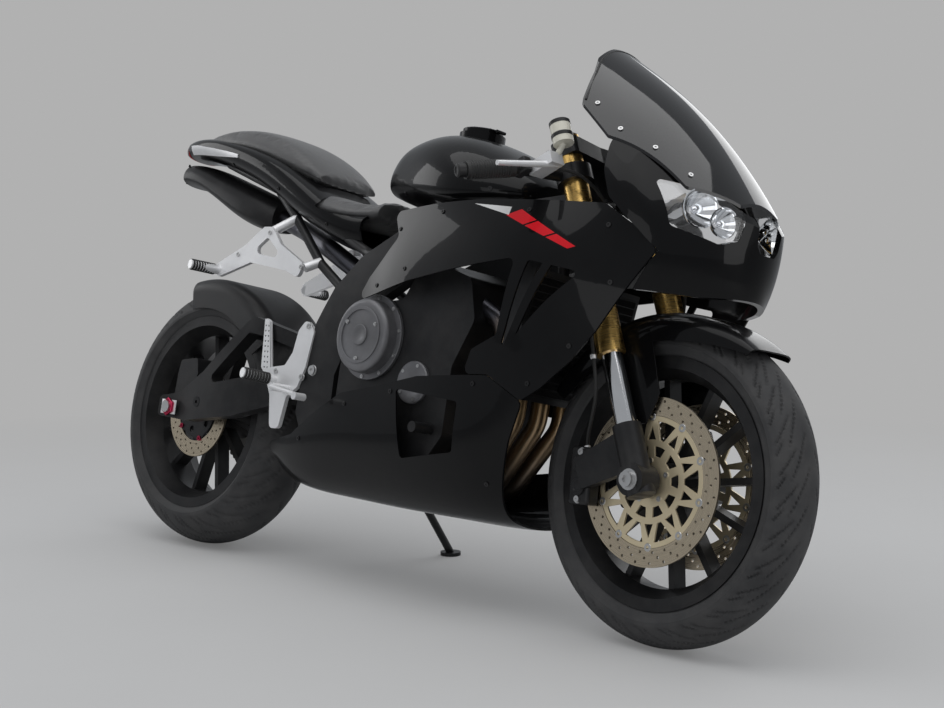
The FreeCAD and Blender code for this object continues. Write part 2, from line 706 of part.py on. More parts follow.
# Tank and seats
tank_row_shares = [
    (0.4073, 0.248, 0.895, 0.838), (0.4255, 0.352, 0.944, 0.83), (0.4655, 0.448, 0.968, 0.815),
    (0.5382, 0.592, 0.975, 0.795), (0.6109, 0.672, 0.955, 0.782),
    (0.6764, 0.624, 0.915, 0.788), (0.7164, 0.488, 0.88, 0.8), (0.7316, 0.336, 0.858, 0.818),
]
tank = hull(tank_row_shares, square=2.7, tumble=0.16)
cap_spot = spot2(0.5469, 0.984)
boss_low = cap_spot - Vector(0, 0, val("cap_boss_tall"))
cap_boss = Part.makeCylinder(val("cap_boss_radius"), val("cap_boss_tall"), boss_low, Vector(0, 0, 1))
tank = free(tank.fuse([cap_boss]), [frame_shape, engine])
cap_low = cap_spot + Vector(0, 0, val("small_gap"))
fuel_cap = Part.makeCylinder(val("cap_radius"), val("cap_tall"), cap_low, Vector(0, 0, 1))
hinge_spot = cap_spot + Vector(val("cap_hinge_ahead"), 0, val("cap_hinge_up"))
cap_ear = Part.makeBox(val("cap_ear_long"), 2 * val("cap_ear_half"), val("cap_ear_tall"),
                       Vector(hinge_spot.x - val("cap_ear_long"), -val("cap_ear_half"), hinge_spot.z))
fuel_cap = fuel_cap.fuse([cap_ear, bar_across(hinge_spot, val("cap_pin_radius"), val("cap_ear_half"))])
rider_row_shares = [
    (0.1964, 0.4, 0.868, 0.82), (0.24, 0.488, 0.852, 0.796), (0.3055, 0.512, 0.832, 0.78),
    (0.3636, 0.448, 0.822, 0.776), (0.4036, 0.32, 0.838, 0.785),
]
rider_seat = free(hull(rider_row_shares, square=3.0, tumble=0.1), [frame_shape, tank])
pillion_row_shares = [
    (-0.1091, 0.248, 1.003, 0.972), (-0.0436, 0.352, 1.014, 0.96), (0.0436, 0.416, 1.01, 0.945),
    (0.1309, 0.432, 0.984, 0.915), (0.2182, 0.416, 0.925, 0.876),
    (0.2509, 0.368, 0.89, 0.862),
]
pillion_seat = free(hull(pillion_row_shares, square=3.0, tumble=0.12), [rider_seat])
tail_row_shares = [
    (-0.1731, 0.208, 1, 0.952), (-0.1091, 0.328, 1.002, 0.944), (0, 0.432, 0.985, 0.908),
    (0.1091, 0.496, 0.95, 0.856), (0.2182, 0.52, 0.89, 0.78),
    (0.3055, 0.512, 0.826, 0.728), (0.3855, 0.448, 0.8, 0.7),
]
tail_inner_row_shares = [
    (-0.1687, 0.184, 0.994, 0.958), (-0.1091, 0.304, 0.996, 0.95), (0, 0.408, 0.979, 0.914),
    (0.1091, 0.472, 0.944, 0.862), (0.2182, 0.496, 0.884, 0.786),
    (0.3055, 0.488, 0.82, 0.734), (0.3891, 0.424, 0.794, 0.706),
]
tail_room = hull(tail_inner_row_shares, square=2.8, tumble=-0.1)
tail_cowl = hull(tail_row_shares, square=2.8, tumble=-0.1).cut(tail_room)
tail_cowl = free(tail_cowl, [pillion_seat, rider_seat, frame_shape, tank, muffler, header])
rails = []
upper_rail = [spot(0.4567, 0.52, 0.692), spot(0.4073, 0.416, 0.705), spot(0.3127, 0.38, 0.76),
              spot(0.1818, 0.34, 0.838), spot(-0.0291, 0.24, 0.93)]
lower_rail = [spot(0.3964, 0.52, 0.6), spot(0.3636, 0.432, 0.622), spot(0.2909, 0.392, 0.68),
              spot(0.2036, 0.36, 0.79), spot(0.1455, 0.328, 0.85)]
for points in (upper_rail, lower_rail):
    rails.append(tube(points, val("rail_radius"), val("rail_bend")))
rail_bar = bar_across(spot2(0.0436, 0.898), val("rail_radius"), val("rail_bar_half"))
subframe = rails[0].fuse([rails[1]])
subframe = subframe.fuse([flip(subframe), rail_bar])
subframe = free(subframe, [frame_shape, rider_seat, pillion_seat, muffler, header, tail_cowl])
tail_light_shares = [
    (-0.1833, 0.184, 0.996, 0.956), (-0.1731, 0.208, 1, 0.952),
]
tail_light = hull(tail_light_shares, square=2.8)

# Fairing
side_x_shares = [
    0.4364, 0.5236, 0.6182, 0.7273, 0.8145, 0.8873, 0.96, 1.0327,
]
side_z_shares = [
    0.38, 0.48, 0.56, 0.64, 0.71, 0.77, 0.83,
]
side_wide_shares = [
    (0.66, 0.728, 0.792, 0.84, 0.832, 0.8, 0.752, 0.68),
    (0.68, 0.752, 0.82, 0.872, 0.872, 0.84, 0.78, 0.688),
    (0.688, 0.768, 0.848, 0.92, 0.932, 0.888, 0.8, 0.688),
    (0.66, 0.768, 0.872, 0.952, 0.972, 0.92, 0.82, 0.696),
    (0.6, 0.736, 0.856, 0.936, 0.952, 0.904, 0.808, 0.696),
    (0.56, 0.688, 0.808, 0.88, 0.888, 0.856, 0.792, 0.704),
    (0.512, 0.632, 0.736, 0.792, 0.808, 0.8, 0.768, 0.72),
]
side_outline_shares = [
    (0.5018, 0.782), (0.6182, 0.792), (0.7222, 0.796), (0.8531, 0.79), (0.9345, 0.786),
    (0.9913, 0.739), (1.0153, 0.704), (0.9782, 0.62),
    (0.9469, 0.551), (0.9127, 0.492), (0.8691, 0.44), (0.8364, 0.412), (0.7738, 0.455),
    (0.7273, 0.452), (0.7418, 0.5), (0.7891, 0.53), (0.8145, 0.676),
    (0.6982, 0.655), (0.584, 0.63), (0.4545, 0.59), (0.4727, 0.64), (0.5367, 0.725),
]
vent_outline_shares = [
    (0.8364, 0.672), (0.9178, 0.655), (0.8727, 0.6), (0.8087, 0.512), (0.7971, 0.512),
]
bar_outline_shares = [
    (0.864, 0.676), (0.8785, 0.676), (0.8131, 0.505), (0.8, 0.505),
]
side_skin = curtain(side_x_shares, side_z_shares, side_wide_shares, val("skin_thick"))
side_panel = side_skin.common(prism(side_outline_shares, val("panel_round"), 0, val("side_deep")))
vent_hole = prism(vent_outline_shares, val("vent_round"), 0, val("side_deep"))
side_panel = side_panel.cut(vent_hole.cut(prism(bar_outline_shares, 0, 0, val("side_deep"))))
side_left = main_solids(side_panel)
side_right = flip(side_left)

belly_row_shares = [
    (0.2473, [(0.552, 0.33), (0.544, 0.29), (0.512, 0.255), (0.4, 0.238), (0.2, 0.232)]),
    (0.3273, [(0.608, 0.42), (0.6, 0.33), (0.568, 0.245), (0.432, 0.192), (0.22, 0.18)]),
    (0.4364, [(0.72, 0.47), (0.704, 0.35), (0.64, 0.245), (0.472, 0.184), (0.24, 0.174)]),
    (0.5455, [(0.792, 0.49), (0.768, 0.36), (0.688, 0.245), (0.496, 0.182), (0.248, 0.171)]),
    (0.6545, [(0.856, 0.5), (0.824, 0.37), (0.728, 0.25), (0.512, 0.184), (0.248, 0.171)]),
    (0.7418, [(0.888, 0.5), (0.832, 0.375), (0.712, 0.255), (0.48, 0.19), (0.232, 0.173)]),
    (0.8073, [(0.896, 0.5), (0.808, 0.38), (0.656, 0.268), (0.424, 0.205), (0.208, 0.186)]),
    (0.8655, [(0.888, 0.5), (0.784, 0.395), (0.6, 0.3), (0.384, 0.245), (0.192, 0.228)]),
]
belly_outline_shares = [
    (0.2538, 0.268), (0.3236, 0.292), (0.3927, 0.35), (0.4516, 0.392), (0.5345, 0.412),
    (0.6305, 0.44), (0.7273, 0.45), (0.7738, 0.453), (0.8364, 0.41),
    (0.8131, 0.335), (0.7971, 0.262), (0.7818, 0.2), (0.7709, 0.16), (0.3127, 0.15), (0.2909, 0.18),
]
window_outline_shares = [
    (0.5862, 0.412), (0.608, 0.274), (0.7156, 0.3), (0.7215, 0.398),
]
belly_skin = trough(belly_row_shares, val("skin_thick"))
reach = val("side_reach")
belly = belly_skin.common(prism(belly_outline_shares, val("belly_round"), -reach, reach))
belly = belly.cut(prism(window_outline_shares, val("vent_round"), val("window_near"), reach))
belly = belly.cut(prism(window_outline_shares, val("vent_round"), -reach, -val("window_near")))
notch_outline_shares = [
    (0.3127, 0.15), (0.3171, 0.204), (0.3418, 0.234), (0.3855, 0.246), (0.4509, 0.246), (0.4727, 0.15),
]
belly = main_solids(belly.cut(prism(notch_outline_shares, val("vent_round"), val("notch_near"), reach)))
side_left = free(side_left, [belly])
side_right = flip(side_left)

nose_row_shares = [
    (0.62, [(0.96, 0.66), (1.0182, 0.488), (1.056, 0.24), (1.0691, 0)]),
    (0.657, [(0.9382, 0.74), (1.0182, 0.56), (1.0655, 0.272), (1.0829, 0)]),
    (0.735, [(0.9236, 0.8), (1.0153, 0.656), (1.0691, 0.336), (1.0909, 0)]),
    (0.82, [(0.8945, 0.816), (0.9905, 0.696), (1.0589, 0.352), (1.0902, 0)]),
    (0.9, [(0.8727, 0.776), (0.9527, 0.664), (1.0109, 0.36), (1.0356, 0)]),
    (1, [(0.8473, 0.704), (0.9018, 0.584), (0.9425, 0.304), (0.9585, 0)]),
    (1.1, [(0.8145, 0.56), (0.8509, 0.432), (0.8771, 0.224), (0.8858, 0)]),
]


def ring_at(z_share, pairs, inward):
    """Points round the nose at one height, from the left side to the right."""
    left = [spot(x_share, y_share, z_share) for x_share, y_share in pairs]
    points = left + [Vector(p.x, -p.y, p.z) for p in reversed(left[:-1])]
    moved = []
    for index, point in enumerate(points):
        run = (points[min(index + 1, len(points) - 1)] - points[max(index - 1, 0)]).normalize()
        moved.append(point + Vector(-run.y, run.x, 0) * inward)
    return moved


def collar(rows, thick):
    """Curved wall round the nose: an outer and an inner skin joined along their edges."""
    skins = []
    for inward in (0, thick):
        surface = Part.BSplineSurface()
        surface.interpolate([ring_at(z_share, pairs, inward) for z_share, pairs in rows])
        skins.append(surface.toShape())
    rims = [Part.makeRuledSurface(outer, inner) for outer, inner in zip(skins[0].Edges, skins[1].Edges)]
    shell = Part.makeShell(skins + rims)
    shell.sewShape()
    solid = Part.makeSolid(shell)
    solid.fix(0, 0, 0)
    if solid.Volume < 0:
        solid.reverse()
    return solid


def dome(x_row, z_mid, drops, y_row, lift, thick):
    """Screen surface: height along the bike, falling towards both sides, thickened upwards."""
    net = []
    for y_share in y_row:
        net.append([spot(x_share, y_share, z_share - drop * y_share ** 2) + Vector(0, 0, lift)
                    for x_share, z_share, drop in zip(x_row, z_mid, drops)])
    surface = Part.BSplineSurface()
    surface.interpolate(net)
    return surface.toShape().extrude(Vector(0, 0, thick))


screen_x_shares = [
    0.7855, 0.8182, 0.8582, 0.9164, 0.9745, 1.0255, 1.0691, 1.1055,
]
screen_z_shares = [
    1.162, 1.134, 1.1, 1.046, 0.98, 0.908, 0.836, 0.77,
]
screen_drop_shares = (0.22, 0.22, 0.22, 0.21, 0.2, 0.2, 0.22, 0.24)
screen_y_shares = [
    -0.96, -0.72, -0.48, -0.24, 0, 0.24, 0.48, 0.72, 0.96,
]
screen_net = (screen_x_shares, screen_z_shares, screen_drop_shares, screen_y_shares)
above = dome(*screen_net, -val("screen_tall"), val("sky_tall"))
sheet_skin = dome(*screen_net, -val("screen_tall"), val("screen_tall"))
screen_outline_shares = [
    (0.8116, 0.16), (0.8204, 0.384), (0.8364, 0.512), (0.8553, 0.728), (0.9178, 0.78),
    (1.0327, 0.6), (1.0764, 0.24), (1.0764, -0.24), (1.0327, -0.6),
    (0.9178, -0.78), (0.8553, -0.728), (0.8364, -0.512), (0.8204, -0.384), (0.8116, -0.16),
]
windscreen = sheet_skin.common(
    slab(screen_outline_shares, val("panel_round"), val("screen_low"), val("sky_tall") * 3))
nose_keep_shares = [
    (0.9018, 1.04), (0.9178, 0.978), (0.9302, 0.845), (0.9455, 0.795), (0.9913, 0.739),
    (1.0153, 0.704), (0.9818, 0.634), (1.0473, 0.634), (1.12, 0.65),
    (1.12, 1.04),
]
lamp_outline_shares = [
    (0.704, 0.838), (0.4, 0.826), (0.232, 0.806), (0.288, 0.742), (0.4, 0.73), (0.672, 0.752),
]
intake_outline_shares = [
    (-0.16, 0.806), (0.16, 0.806), (0.136, 0.742), (0.088, 0.728), (-0.088, 0.728), (-0.136, 0.742),
]


def front_prism(points, radius, mirrored=False):
    """Front-view outline pushed along the bike through the nose."""
    spots = [spot(0, -y_share if mirrored else y_share, z_share) + Vector(val("nose_back"), 0, 0)
             for y_share, z_share in points]
    return Part.Face(soft(spots, radius)).extrude(Vector(val("nose_deep"), 0, 0))


nose = collar(nose_row_shares, val("cowl_thick")).cut(above)
nose = nose.common(prism(nose_keep_shares, 0, -reach, reach))
lamp_left = front_prism(lamp_outline_shares, val("lamp_round"))
lamp_shell = nose.common(lamp_left)
nose = nose.cut(lamp_left).cut(flip(lamp_left)).cut(front_prism(intake_outline_shares, val("lamp_round")))
nose = main_solids(nose)
headlight_left = free(lamp_shell, [windscreen])
side_left = free(side_left, [nose])
side_right = flip(side_left)
dash_outline_shares = [
    (0.875, 0.905), (0.883, 0.968), (0.923, 0.93), (0.916, 0.878),
]
dash = prism(dash_outline_shares, val("vent_round"), -val("dash_half"), val("dash_half"))
stays = rod(spot(0.8087, 0, 0.83), spot(0.8887, 0, 0.912), val("rail_radius"))
stays = free(stays, [dash, frame_shape, head_bore])
side_stay = rod(spot(0.7273, 0.448, 0.775), spot(0.7273, 0.856, 0.775), val("rail_radius"))
low_stay = rod(spot(0.6327, 0.56, 0.34), spot(0.6327, 0.808, 0.34), val("rail_radius"))
nose_stay = rod(spot(0.9004, 0.24, 0.925), spot(0.9571, 0.68, 0.887), val("thin_rail_radius"))
fairing_stays = [free(side_stay, [frame_shape, side_left]), free(low_stay, [engine, belly]),
                 free(nose_stay, [dash, nose])]
fairing_stays = Part.makeCompound(fairing_stays + [flip(item) for item in fairing_stays])

# Rear frame and stands
hanger_outline_shares = [
    (0.3287, 0.545), (0.3505, 0.52), (0.3418, 0.44), (0.3287, 0.395), (0.3055, 0.372),
    (0.2967, 0.3), (0.2749, 0.298), (0.2633, 0.372), (0.2487, 0.405),
    (0.2516, 0.432), (0.2909, 0.44), (0.3055, 0.47), (0.3127, 0.52),
]
guard_outline_shares = [
    (0.2182, 0.545), (0.2342, 0.538), (0.256, 0.42), (0.2473, 0.405), (0.2269, 0.43),
]
hanger_y = val("hanger_line")
hanger = prism(hanger_outline_shares, val("hanger_round"), hanger_y, hanger_y + val("plate_metal"))
guard = prism(guard_outline_shares, val("vent_round"), hanger_y, hanger_y + val("skin_thick"))
peg = rod(spot(0.2705, 0, 0.405) + Vector(0, hanger_y, 0), spot(0.2582, 0.944, 0.41), val("peg_radius"))
hanger = free(hanger.fuse([guard, peg]), [frame_shape])
lever_root, lever_toe = spot(0.3055, 0, 0.388), spot(0.3898, 0, 0.372)
lever_out = Vector(0, val("lever_line"), 0)
hanger_face = Vector(0, hanger_y + val("plate_metal"), 0)
toe_out = lever_out + Vector(0, val("toe_wide"), 0)
foot_lever = rod(lever_root + hanger_face, lever_root + lever_out, val("lever_boss"))
foot_lever = foot_lever.fuse([rod(lever_root + lever_out, lever_toe + lever_out, val("lever_radius"))])
foot_lever = foot_lever.fuse([rod(lever_toe + lever_out, lever_toe + toe_out, val("toe_radius"))])
pillion_outline_shares = [
    (0.2836, 0.672), (0.2735, 0.64), (0.24, 0.655), (0.1455, 0.672), (0.0625, 0.636), (0.048, 0.65),
    (0.0553, 0.668), (0.1236, 0.712), (0.1687, 0.756), (0.1905, 0.756),
    (0.2182, 0.716),
]
pillion_hole_shares = [
    (0.2327, 0.68), (0.1455, 0.696), (0.1818, 0.732),
]
pillion_y = val("pillion_line")
pillion_arm = prism(pillion_outline_shares, val("hanger_round"), pillion_y, pillion_y + val("plate_metal"))
pillion_arm = pillion_arm.cut(prism(pillion_hole_shares, val("hanger_round"), 0, val("side_reach") * 2))
pillion_face = Vector(0, pillion_y, 0)
pillion_peg = rod(spot(0.0625, 0, 0.652) + pillion_face, spot(0.0509, 0.856, 0.652), val("peg_radius"))
pillion_bosses = [rod(spot(0.2793, 0, 0.664) + pillion_face, spot(0.2895, 0.388, 0.684), val("rail_radius")),
                  rod(spot(0.1862, 0, 0.748) + pillion_face, spot(0.2073, 0.36, 0.786), val("rail_radius"))]
pillion_arm = free(pillion_arm.fuse([pillion_peg] + pillion_bosses), [subframe, tail_cowl])

swing_outline_shares = [
    (-0.0349, 0.34), (-0.0349, 0.292), (0.0436, 0.288), (0.1673, 0.312), (0.2909, 0.368),
    (0.3782, 0.398), (0.3782, 0.47), (0.3491, 0.492), (0.2618, 0.522),
    (0.1905, 0.546), (0.1716, 0.53), (0.08, 0.408), (0.0145, 0.352),
]
swing_hole_shares = [
    (0.1818, 0.508), (0.2182, 0.502), (0.3433, 0.46), (0.32, 0.434), (0.24, 0.422), (0.1491, 0.394),
    (0.0887, 0.378),
]
swing_x_shares = [
    -0.0436, 0.0873, 0.1891, 0.2764, 0.3418, 0.3927,
]
swing_z_shares = [
    0.27, 0.4, 0.56,
]
swing_wide_shares = [
    (0.632, 0.632, 0.6, 0.472, 0.368, 0.36), (0.632, 0.632, 0.6, 0.472, 0.368, 0.36),
    (0.632, 0.632, 0.6, 0.52, 0.376, 0.368),
]
swing = curtain(swing_x_shares, swing_z_shares, swing_wide_shares, val("arm_beam"))
swing = swing.common(prism(swing_outline_shares, val("hanger_round"), 0, reach))
swing = swing.cut(prism(swing_hole_shares, val("hanger_round"), 0, reach))
pivot_tube = bar_across(pivot_spot, val("pivot_radius"), val("swing_half"))
bridge_outline_shares = [
    (0.2676, 0.37), (0.2676, 0.42), (0.2365, 0.41), (0.2365, 0.355),
]
swing_bridge = prism(bridge_outline_shares, val("vent_round"), -val("bridge_half"), val("bridge_half"))
shock_bar = bar_across(spot2(0.3084, 0.5), val("shock_bar_radius"), val("bridge_half"))
pivot_bore = bar_across(pivot_spot, val("pivot_bolt_radius"), reach)
swing_core = pivot_tube.fuse([swing_bridge, shock_bar]).cut(pivot_bore)
spool_root = spot2(0.0727, 0.335) + Vector(0, val("spool_face") - val("spool_deep"), 0)
spool_boss = Part.makeCylinder(val("spool_boss_radius"), val("spool_deep"), spool_root, Vector(0, 1, 0))
spool = Part.makeCylinder(val("spool_radius"), val("spool_deep") + val("cut_over"), spool_root,
                          Vector(0, 1, 0))
swing = swing.cut(pivot_bore)
swing = swing.cut(bar_across(spot2(0, 0.315), val("rear_axle_radius"), reach)).fuse([spool_boss]).cut(spool)
swing = free(swing, [frame_shape, header])
swing_core = free(swing_core, [frame_shape, header, swing, flip(swing)])
swingarm = both(swing)
swing_shape = swing.fuse([flip(swing), swing_core])
pivot_bolt = bar_across(pivot_spot, val("pivot_bolt_radius"), val("pivot_bolt_half"))
rear_axle = bar_across(spot2(0, 0.315), val("rear_axle_radius"), val("rear_axle_half"))
shock_low, shock_high = spot(0.2938, 0.072, 0.286), spot(0.3084, 0.072, 0.5)
shock = rod(shock_low, shock_high, val("damper_radius"))
shock_way = (shock_high - shock_low).normalize()
shock = shock.fuse([rod(shock_low + shock_way * val("spring_low"), shock_high - shock_way * val("spring_low"),
                        val("spring_radius"))])
shock = shock.fuse([rod(shock_low, spot(0.3418, 0.072, 0.322), val("rail_radius"))])
shock = free(shock, [swing_shape, frame_shape, header])
rear_caliper_shares = [
    (-0.022, 0.385), (-0.016, 0.432), (0.029, 0.44), (0.038, 0.392),
]
caliper_hold_shares = [
    (-0.02, 0.345), (-0.018, 0.395), (0.036, 0.4), (0.042, 0.345),
]
rear_caliper = prism(rear_caliper_shares, val("vent_round"), -val("caliper_far"), -val("caliper_near"))
slot_start = spot2(0, 0.315) - Vector(0, val("rear_hub_wide") / 2 - val("rotor_gap"), 0)
slot = Part.makeCylinder(val("rear_disc_radius") + val("rotor_gap"),
                         val("rear_disc_thick") + 2 * val("rotor_gap"), slot_start, Vector(0, -1, 0))
caliper_hold = prism(caliper_hold_shares, 0, -val("hold_far"), -val("hold_near"))
rear_caliper = free(rear_caliper.fuse([caliper_hold]), [slot, swing_shape])

# Chain
wheel_pitch = val("sprocket_radius")
big, small = spot2(0, 0.315), sprocket_spot
gap_way = (small - big).normalize()
tilt = math.acos((wheel_pitch - val("pinion_radius")) / small.distanceToPoint(big))
normal_up = Rotation(Vector(0, 1, 0), -math.degrees(tilt)).multVec(gap_way)
normal_low = Rotation(Vector(0, 1, 0), math.degrees(tilt)).multVec(gap_way)


def chain_loop(grow):
    """Loop round both sprockets, moved outwards from the pitch line."""
    r_big, r_small = wheel_pitch + grow, val("pinion_radius") + grow
    big_up, big_low = big + normal_up * r_big, big + normal_low * r_big
    small_up, small_low = small + normal_up * r_small, small + normal_low * r_small
    edges = [Part.LineSegment(big_up, small_up).toShape(),
             Part.Arc(small_up, small + gap_way * r_small, small_low).toShape(),
             Part.LineSegment(small_low, big_low).toShape(),
             Part.Arc(big_low, big - gap_way * r_big, big_up).toShape()]
    return Part.Face(Part.Wire(edges))


half_plate = val("plate_tall") / 2
link_spots = chain_loop(0).OuterWire.discretize(Number=2 * int(val("link_count")) + 1)[:-1]


def link_line(side):
    """Wavy edge of the links: full plates round the pins, slim waists between them."""
    points = []
    for index, point in enumerate(link_spots):
        run = (link_spots[(index + 1) % len(link_spots)] - link_spots[index - 1]).normalize()
        deep = half_plate if index % 2 else half_plate * val("waist_share")
        points.append(point + Vector(run.z, 0, -run.x) * side * deep)
    return Part.Face(Part.makePolygon(points + points[:1]))


wave_one, wave_two = link_line(1), link_line(-1)
if wave_one.Area < wave_two.Area:
    wave_one, wave_two = wave_two, wave_one
chain = wave_one.cut(wave_two).extrude(Vector(0, val("chain_wide"), 0))
chain.translate(Vector(0, val("chain_line") - val("chain_wide") / 2, 0))
pinion_face = small + Vector(0, val("chain_line") - val("sprocket_thick") / 2, 0)
front_sprocket = Part.makeCylinder(val("pinion_radius") - half_plate, val("sprocket_thick"), pinion_face,
                                   Vector(0, 1, 0))
front_sprocket = front_sprocket.fuse([rod(small + Vector(0, val("chain_line") - val("chain_wide"), 0),
                                          small + Vector(0, val("chain_line") + val("sprocket_thick"), 0),
                                          val("rear_axle_radius"))])
front_sprocket = free(front_sprocket, [frame_shape])
sprocket_cover = free(sprocket_cover, [chain, frame_shape])
chain_room = chain_loop(val("plate_tall")).extrude(Vector(0, val("side_reach"), 0))
engine = free(engine, [chain_room.translated(Vector(0, val("chain_line") - val("chain_wide"), 0))])

rear_sprocket = start("rear_sprocket", wheel_rear)
plate_in, plate_out = "chain_line - sprocket_thick / 2", "chain_line + sprocket_thick / 2"
turn(rear_sprocket, "rear_sprocket_disc", [
    ("rear_hub_wide / 2", rear_bore), (plate_out, rear_bore),
    (plate_out, "sprocket_radius - plate_tall"),
    (plate_in, "sprocket_radius - plate_tall"), (plate_in, "0.7 * rear_hub_radius"),
    ("rear_hub_wide / 2", "0.7 * rear_hub_radius")])

# Rear mudguard
half, low, high = val("fender_half"), val("fender_low"), val("fender_high")
inner_half, inner_high = half - val("skin_thick"), high - val("skin_thick")
outer_round, inner_round = val("fender_round"), val("fender_round") - val("skin_thick")
fender_corners = [Vector(0, -half, low), Vector(0, -half, high), Vector(0, half, high), Vector(0, half, low),
                  Vector(0, inner_half, low), Vector(0, inner_half, inner_high),
                  Vector(0, -inner_half, inner_high), Vector(0, -inner_half, low)]
fender_rounds = [0, outer_round, outer_round, 0, 0, inner_round, inner_round, 0]
fender_face = Part.Face(soft(fender_corners, fender_rounds))
fender = fender_face.revolve(Vector(0, 0, 0), Vector(0, 1, 0), val("fender_angle"))
fender.rotate(Vector(0, 0, 0), Vector(0, 1, 0), val("fender_start_angle"))
fender.translate(spot2(0, 0.315))
fender_hook = rod(spot(0.1636, 0.38, 0.505), spot(0.1636, 0.528, 0.503), val("thin_rail_radius"))
fender = fender.fuse([fender_hook, flip(fender_hook)])
fender = free(fender, [swing_shape, chain_room, rear_caliper])

# Side stand
stand_pivot, stand_foot = spot(0.4087, 0.56, 0.212), spot(0.3869, 1.272, 0.069)
stand_axis_shares = (-0.12, 0.65, 0.75)
bolt_start_share, bolt_long_share = 0.7, 1.6
stand_way = (stand_foot - stand_pivot).normalize()
stand_axis = Vector(*stand_axis_shares).normalize()
half_eye = stand_axis * (val("eye_tall") / 2)
leg = rod(stand_pivot + stand_way * val("stand_eye"), stand_foot, val("leg_radius"))
eye = Part.makeCylinder(val("stand_eye"), val("eye_tall"), stand_pivot - half_eye, stand_axis)
eye_bore = Part.makeCylinder(val("stand_bolt"), 2 * val("eye_tall"), stand_pivot - 2 * half_eye, stand_axis)
eye = eye.cut(eye_bore)
floor_up = stand.inverse().Rotation.multVec(Vector(0, 0, 1))
foot_base = stand.inverse().multVec(stand.multVec(stand_foot) - Vector(0, 0, stand.multVec(stand_foot).z))
foot = Part.makeCylinder(val("foot_radius"), val("foot_tall"), foot_base, floor_up)
lug_room = Part.makeCylinder(val("stand_eye") + val("rotor_gap"), 2 * val("lug_tall"),
                             stand_pivot + half_eye, stand_axis)
side_stand = leg.cut(lug_room).fuse([foot, eye])
lug = Part.makeCylinder(val("stand_eye"), val("lug_tall"),
                        stand_pivot + stand_axis * (val("eye_tall") / 2 + val("running_gap")), stand_axis)
lug_arm = rod(stand_pivot + stand_axis * (val("eye_tall") / 2 + val("lug_tall") / 2 + val("running_gap")),
              spot(0.384, 0.488, 0.318), val("stand_bolt"))
bolt = Part.makeCylinder(val("stand_bolt") - val("running_gap"), bolt_long_share * val("eye_tall"),
                         stand_pivot - stand_axis * (bolt_start_share * val("eye_tall")), stand_axis)
eye_room = Part.makeCylinder(val("stand_eye") + val("rotor_gap"), val("eye_tall"), stand_pivot - half_eye,
                             stand_axis)
stand_bracket = free(lug.fuse([lug_arm]).cut(eye_room).fuse([bolt]), [engine, frame_shape, belly, side_stand])

foot_lever = free(foot_lever, [hanger, belly, swing_shape])
foot_levers = both(foot_lever)

# Steering, in the fork's own frame
steer_place = front_at
leg_y = val("leg_spread")


def fork_spot(ahead, left, up):
    """Point of the fork frame: forward, left and up along the legs from the front axle."""
    return Vector(ahead, left, up)


def leg_body(name, profile):
    """Piece turned round each fork leg, as a pair."""
    body = start(name, steer_place)
    feature = turn_up(body, name + "_leg", profile)
    feature.Profile[0].setExpression("AttachmentOffset.Base.z", "- Sizes.leg_spread")
    feature.ReferenceAxis = (feature.Profile[0], ["V_Axis"])
    twin(body, name + "_pair", [feature])
    return body


leg_body("fork_outer_tubes", [
    ("0", "outer_low"), ("outer_radius", "outer_low"), ("outer_radius", "low_bridge + clamp_tall"),
    ("outer_radius - tube_step", "low_bridge + 2 * clamp_tall"),
    ("outer_radius - tube_step", "fork_long"),
    ("0", "fork_long")])
leg_body("fork_sliders", [
    ("0", "slider_low"), ("slider_radius", "slider_low"), ("slider_radius", "outer_low"),
    ("0", "outer_low")]),
caliper_lug_shares = [
    (-0.095, 0.024), (-0.095, 0.084), (0, 0.1), (0, 0.02),
]
lower = rod(fork_spot(0, leg_y, -val("lower_tail")), fork_spot(0, leg_y, val("slider_low")),
            val("outer_radius"))
lower = lower.fuse([bar_across(Vector(0, leg_y, 0), val("axle_boss"), val("boss_half"))])
lug_half = val("caliper_lug_half")
lower = lower.fuse([prism(caliper_lug_shares, 0, leg_y - lug_half, leg_y + lug_half)])
lower = lower.cut(bar_across(Vector(0, 0, 0), val("front_axle_radius"), val("side_reach")))
back_share, up_share, in_share = 0.86, 0.34, 0.42
caliper_spot = Vector(-back_share * val("front_disc_radius"), 0, up_share * val("front_disc_radius"))
caliper = Part.makeBox(val("caliper_deep"), val("caliper_wide"), val("caliper_long"))
caliper.translate(Vector(-val("caliper_deep") / 2, 0, -val("caliper_long") / 2))
caliper = caliper.makeFillet(val("caliper_round"), caliper.Edges)
caliper.rotate(Vector(0, 0, 0), Vector(0, 1, 0), val("caliper_turn_angle"))
caliper.translate(caliper_spot + Vector(0, val("disc_line") - in_share * val("caliper_wide"), 0))
rotor_near = val("hub_wide") / 2 - val("small_gap") - val("rotor_gap")
rotor_wide = val("carrier_thick") + 2 * val("small_gap") + 2 * val("rotor_gap")
rotor_space = Part.makeCylinder(val("front_disc_radius") + val("rotor_gap"), rotor_wide,
                                Vector(0, rotor_near, 0), Vector(0, 1, 0))
caliper = free(caliper, [rotor_space, lower])
calipers = both(caliper)
lowers = both(free(lower, [caliper]))
front_axle = bar_across(Vector(0, 0, 0), val("front_axle_radius"), val("front_axle_half"))
bridge_left = [Vector(-fork_offset - val("bridge_back"), val("bridge_back_half"), 0),
               Vector(-val("bridge_side_back"), leg_y + val("bridge_side"), 0),
               Vector(val("bridge_nose"), leg_y + val("bridge_nose_side"), 0),
               Vector(val("bridge_waist"), val("bridge_waist_half"), 0)]
bridge_right = [Vector(point.x, -point.y, 0) for point in reversed(bridge_left)]
bridge_face = Part.Face(soft(bridge_left + bridge_right, val("hanger_round")))
bridge_plate = bridge_face.extrude(Vector(0, 0, val("clamp_tall")))
low_plate = bridge_plate.translated(Vector(0, 0, val("low_bridge")))
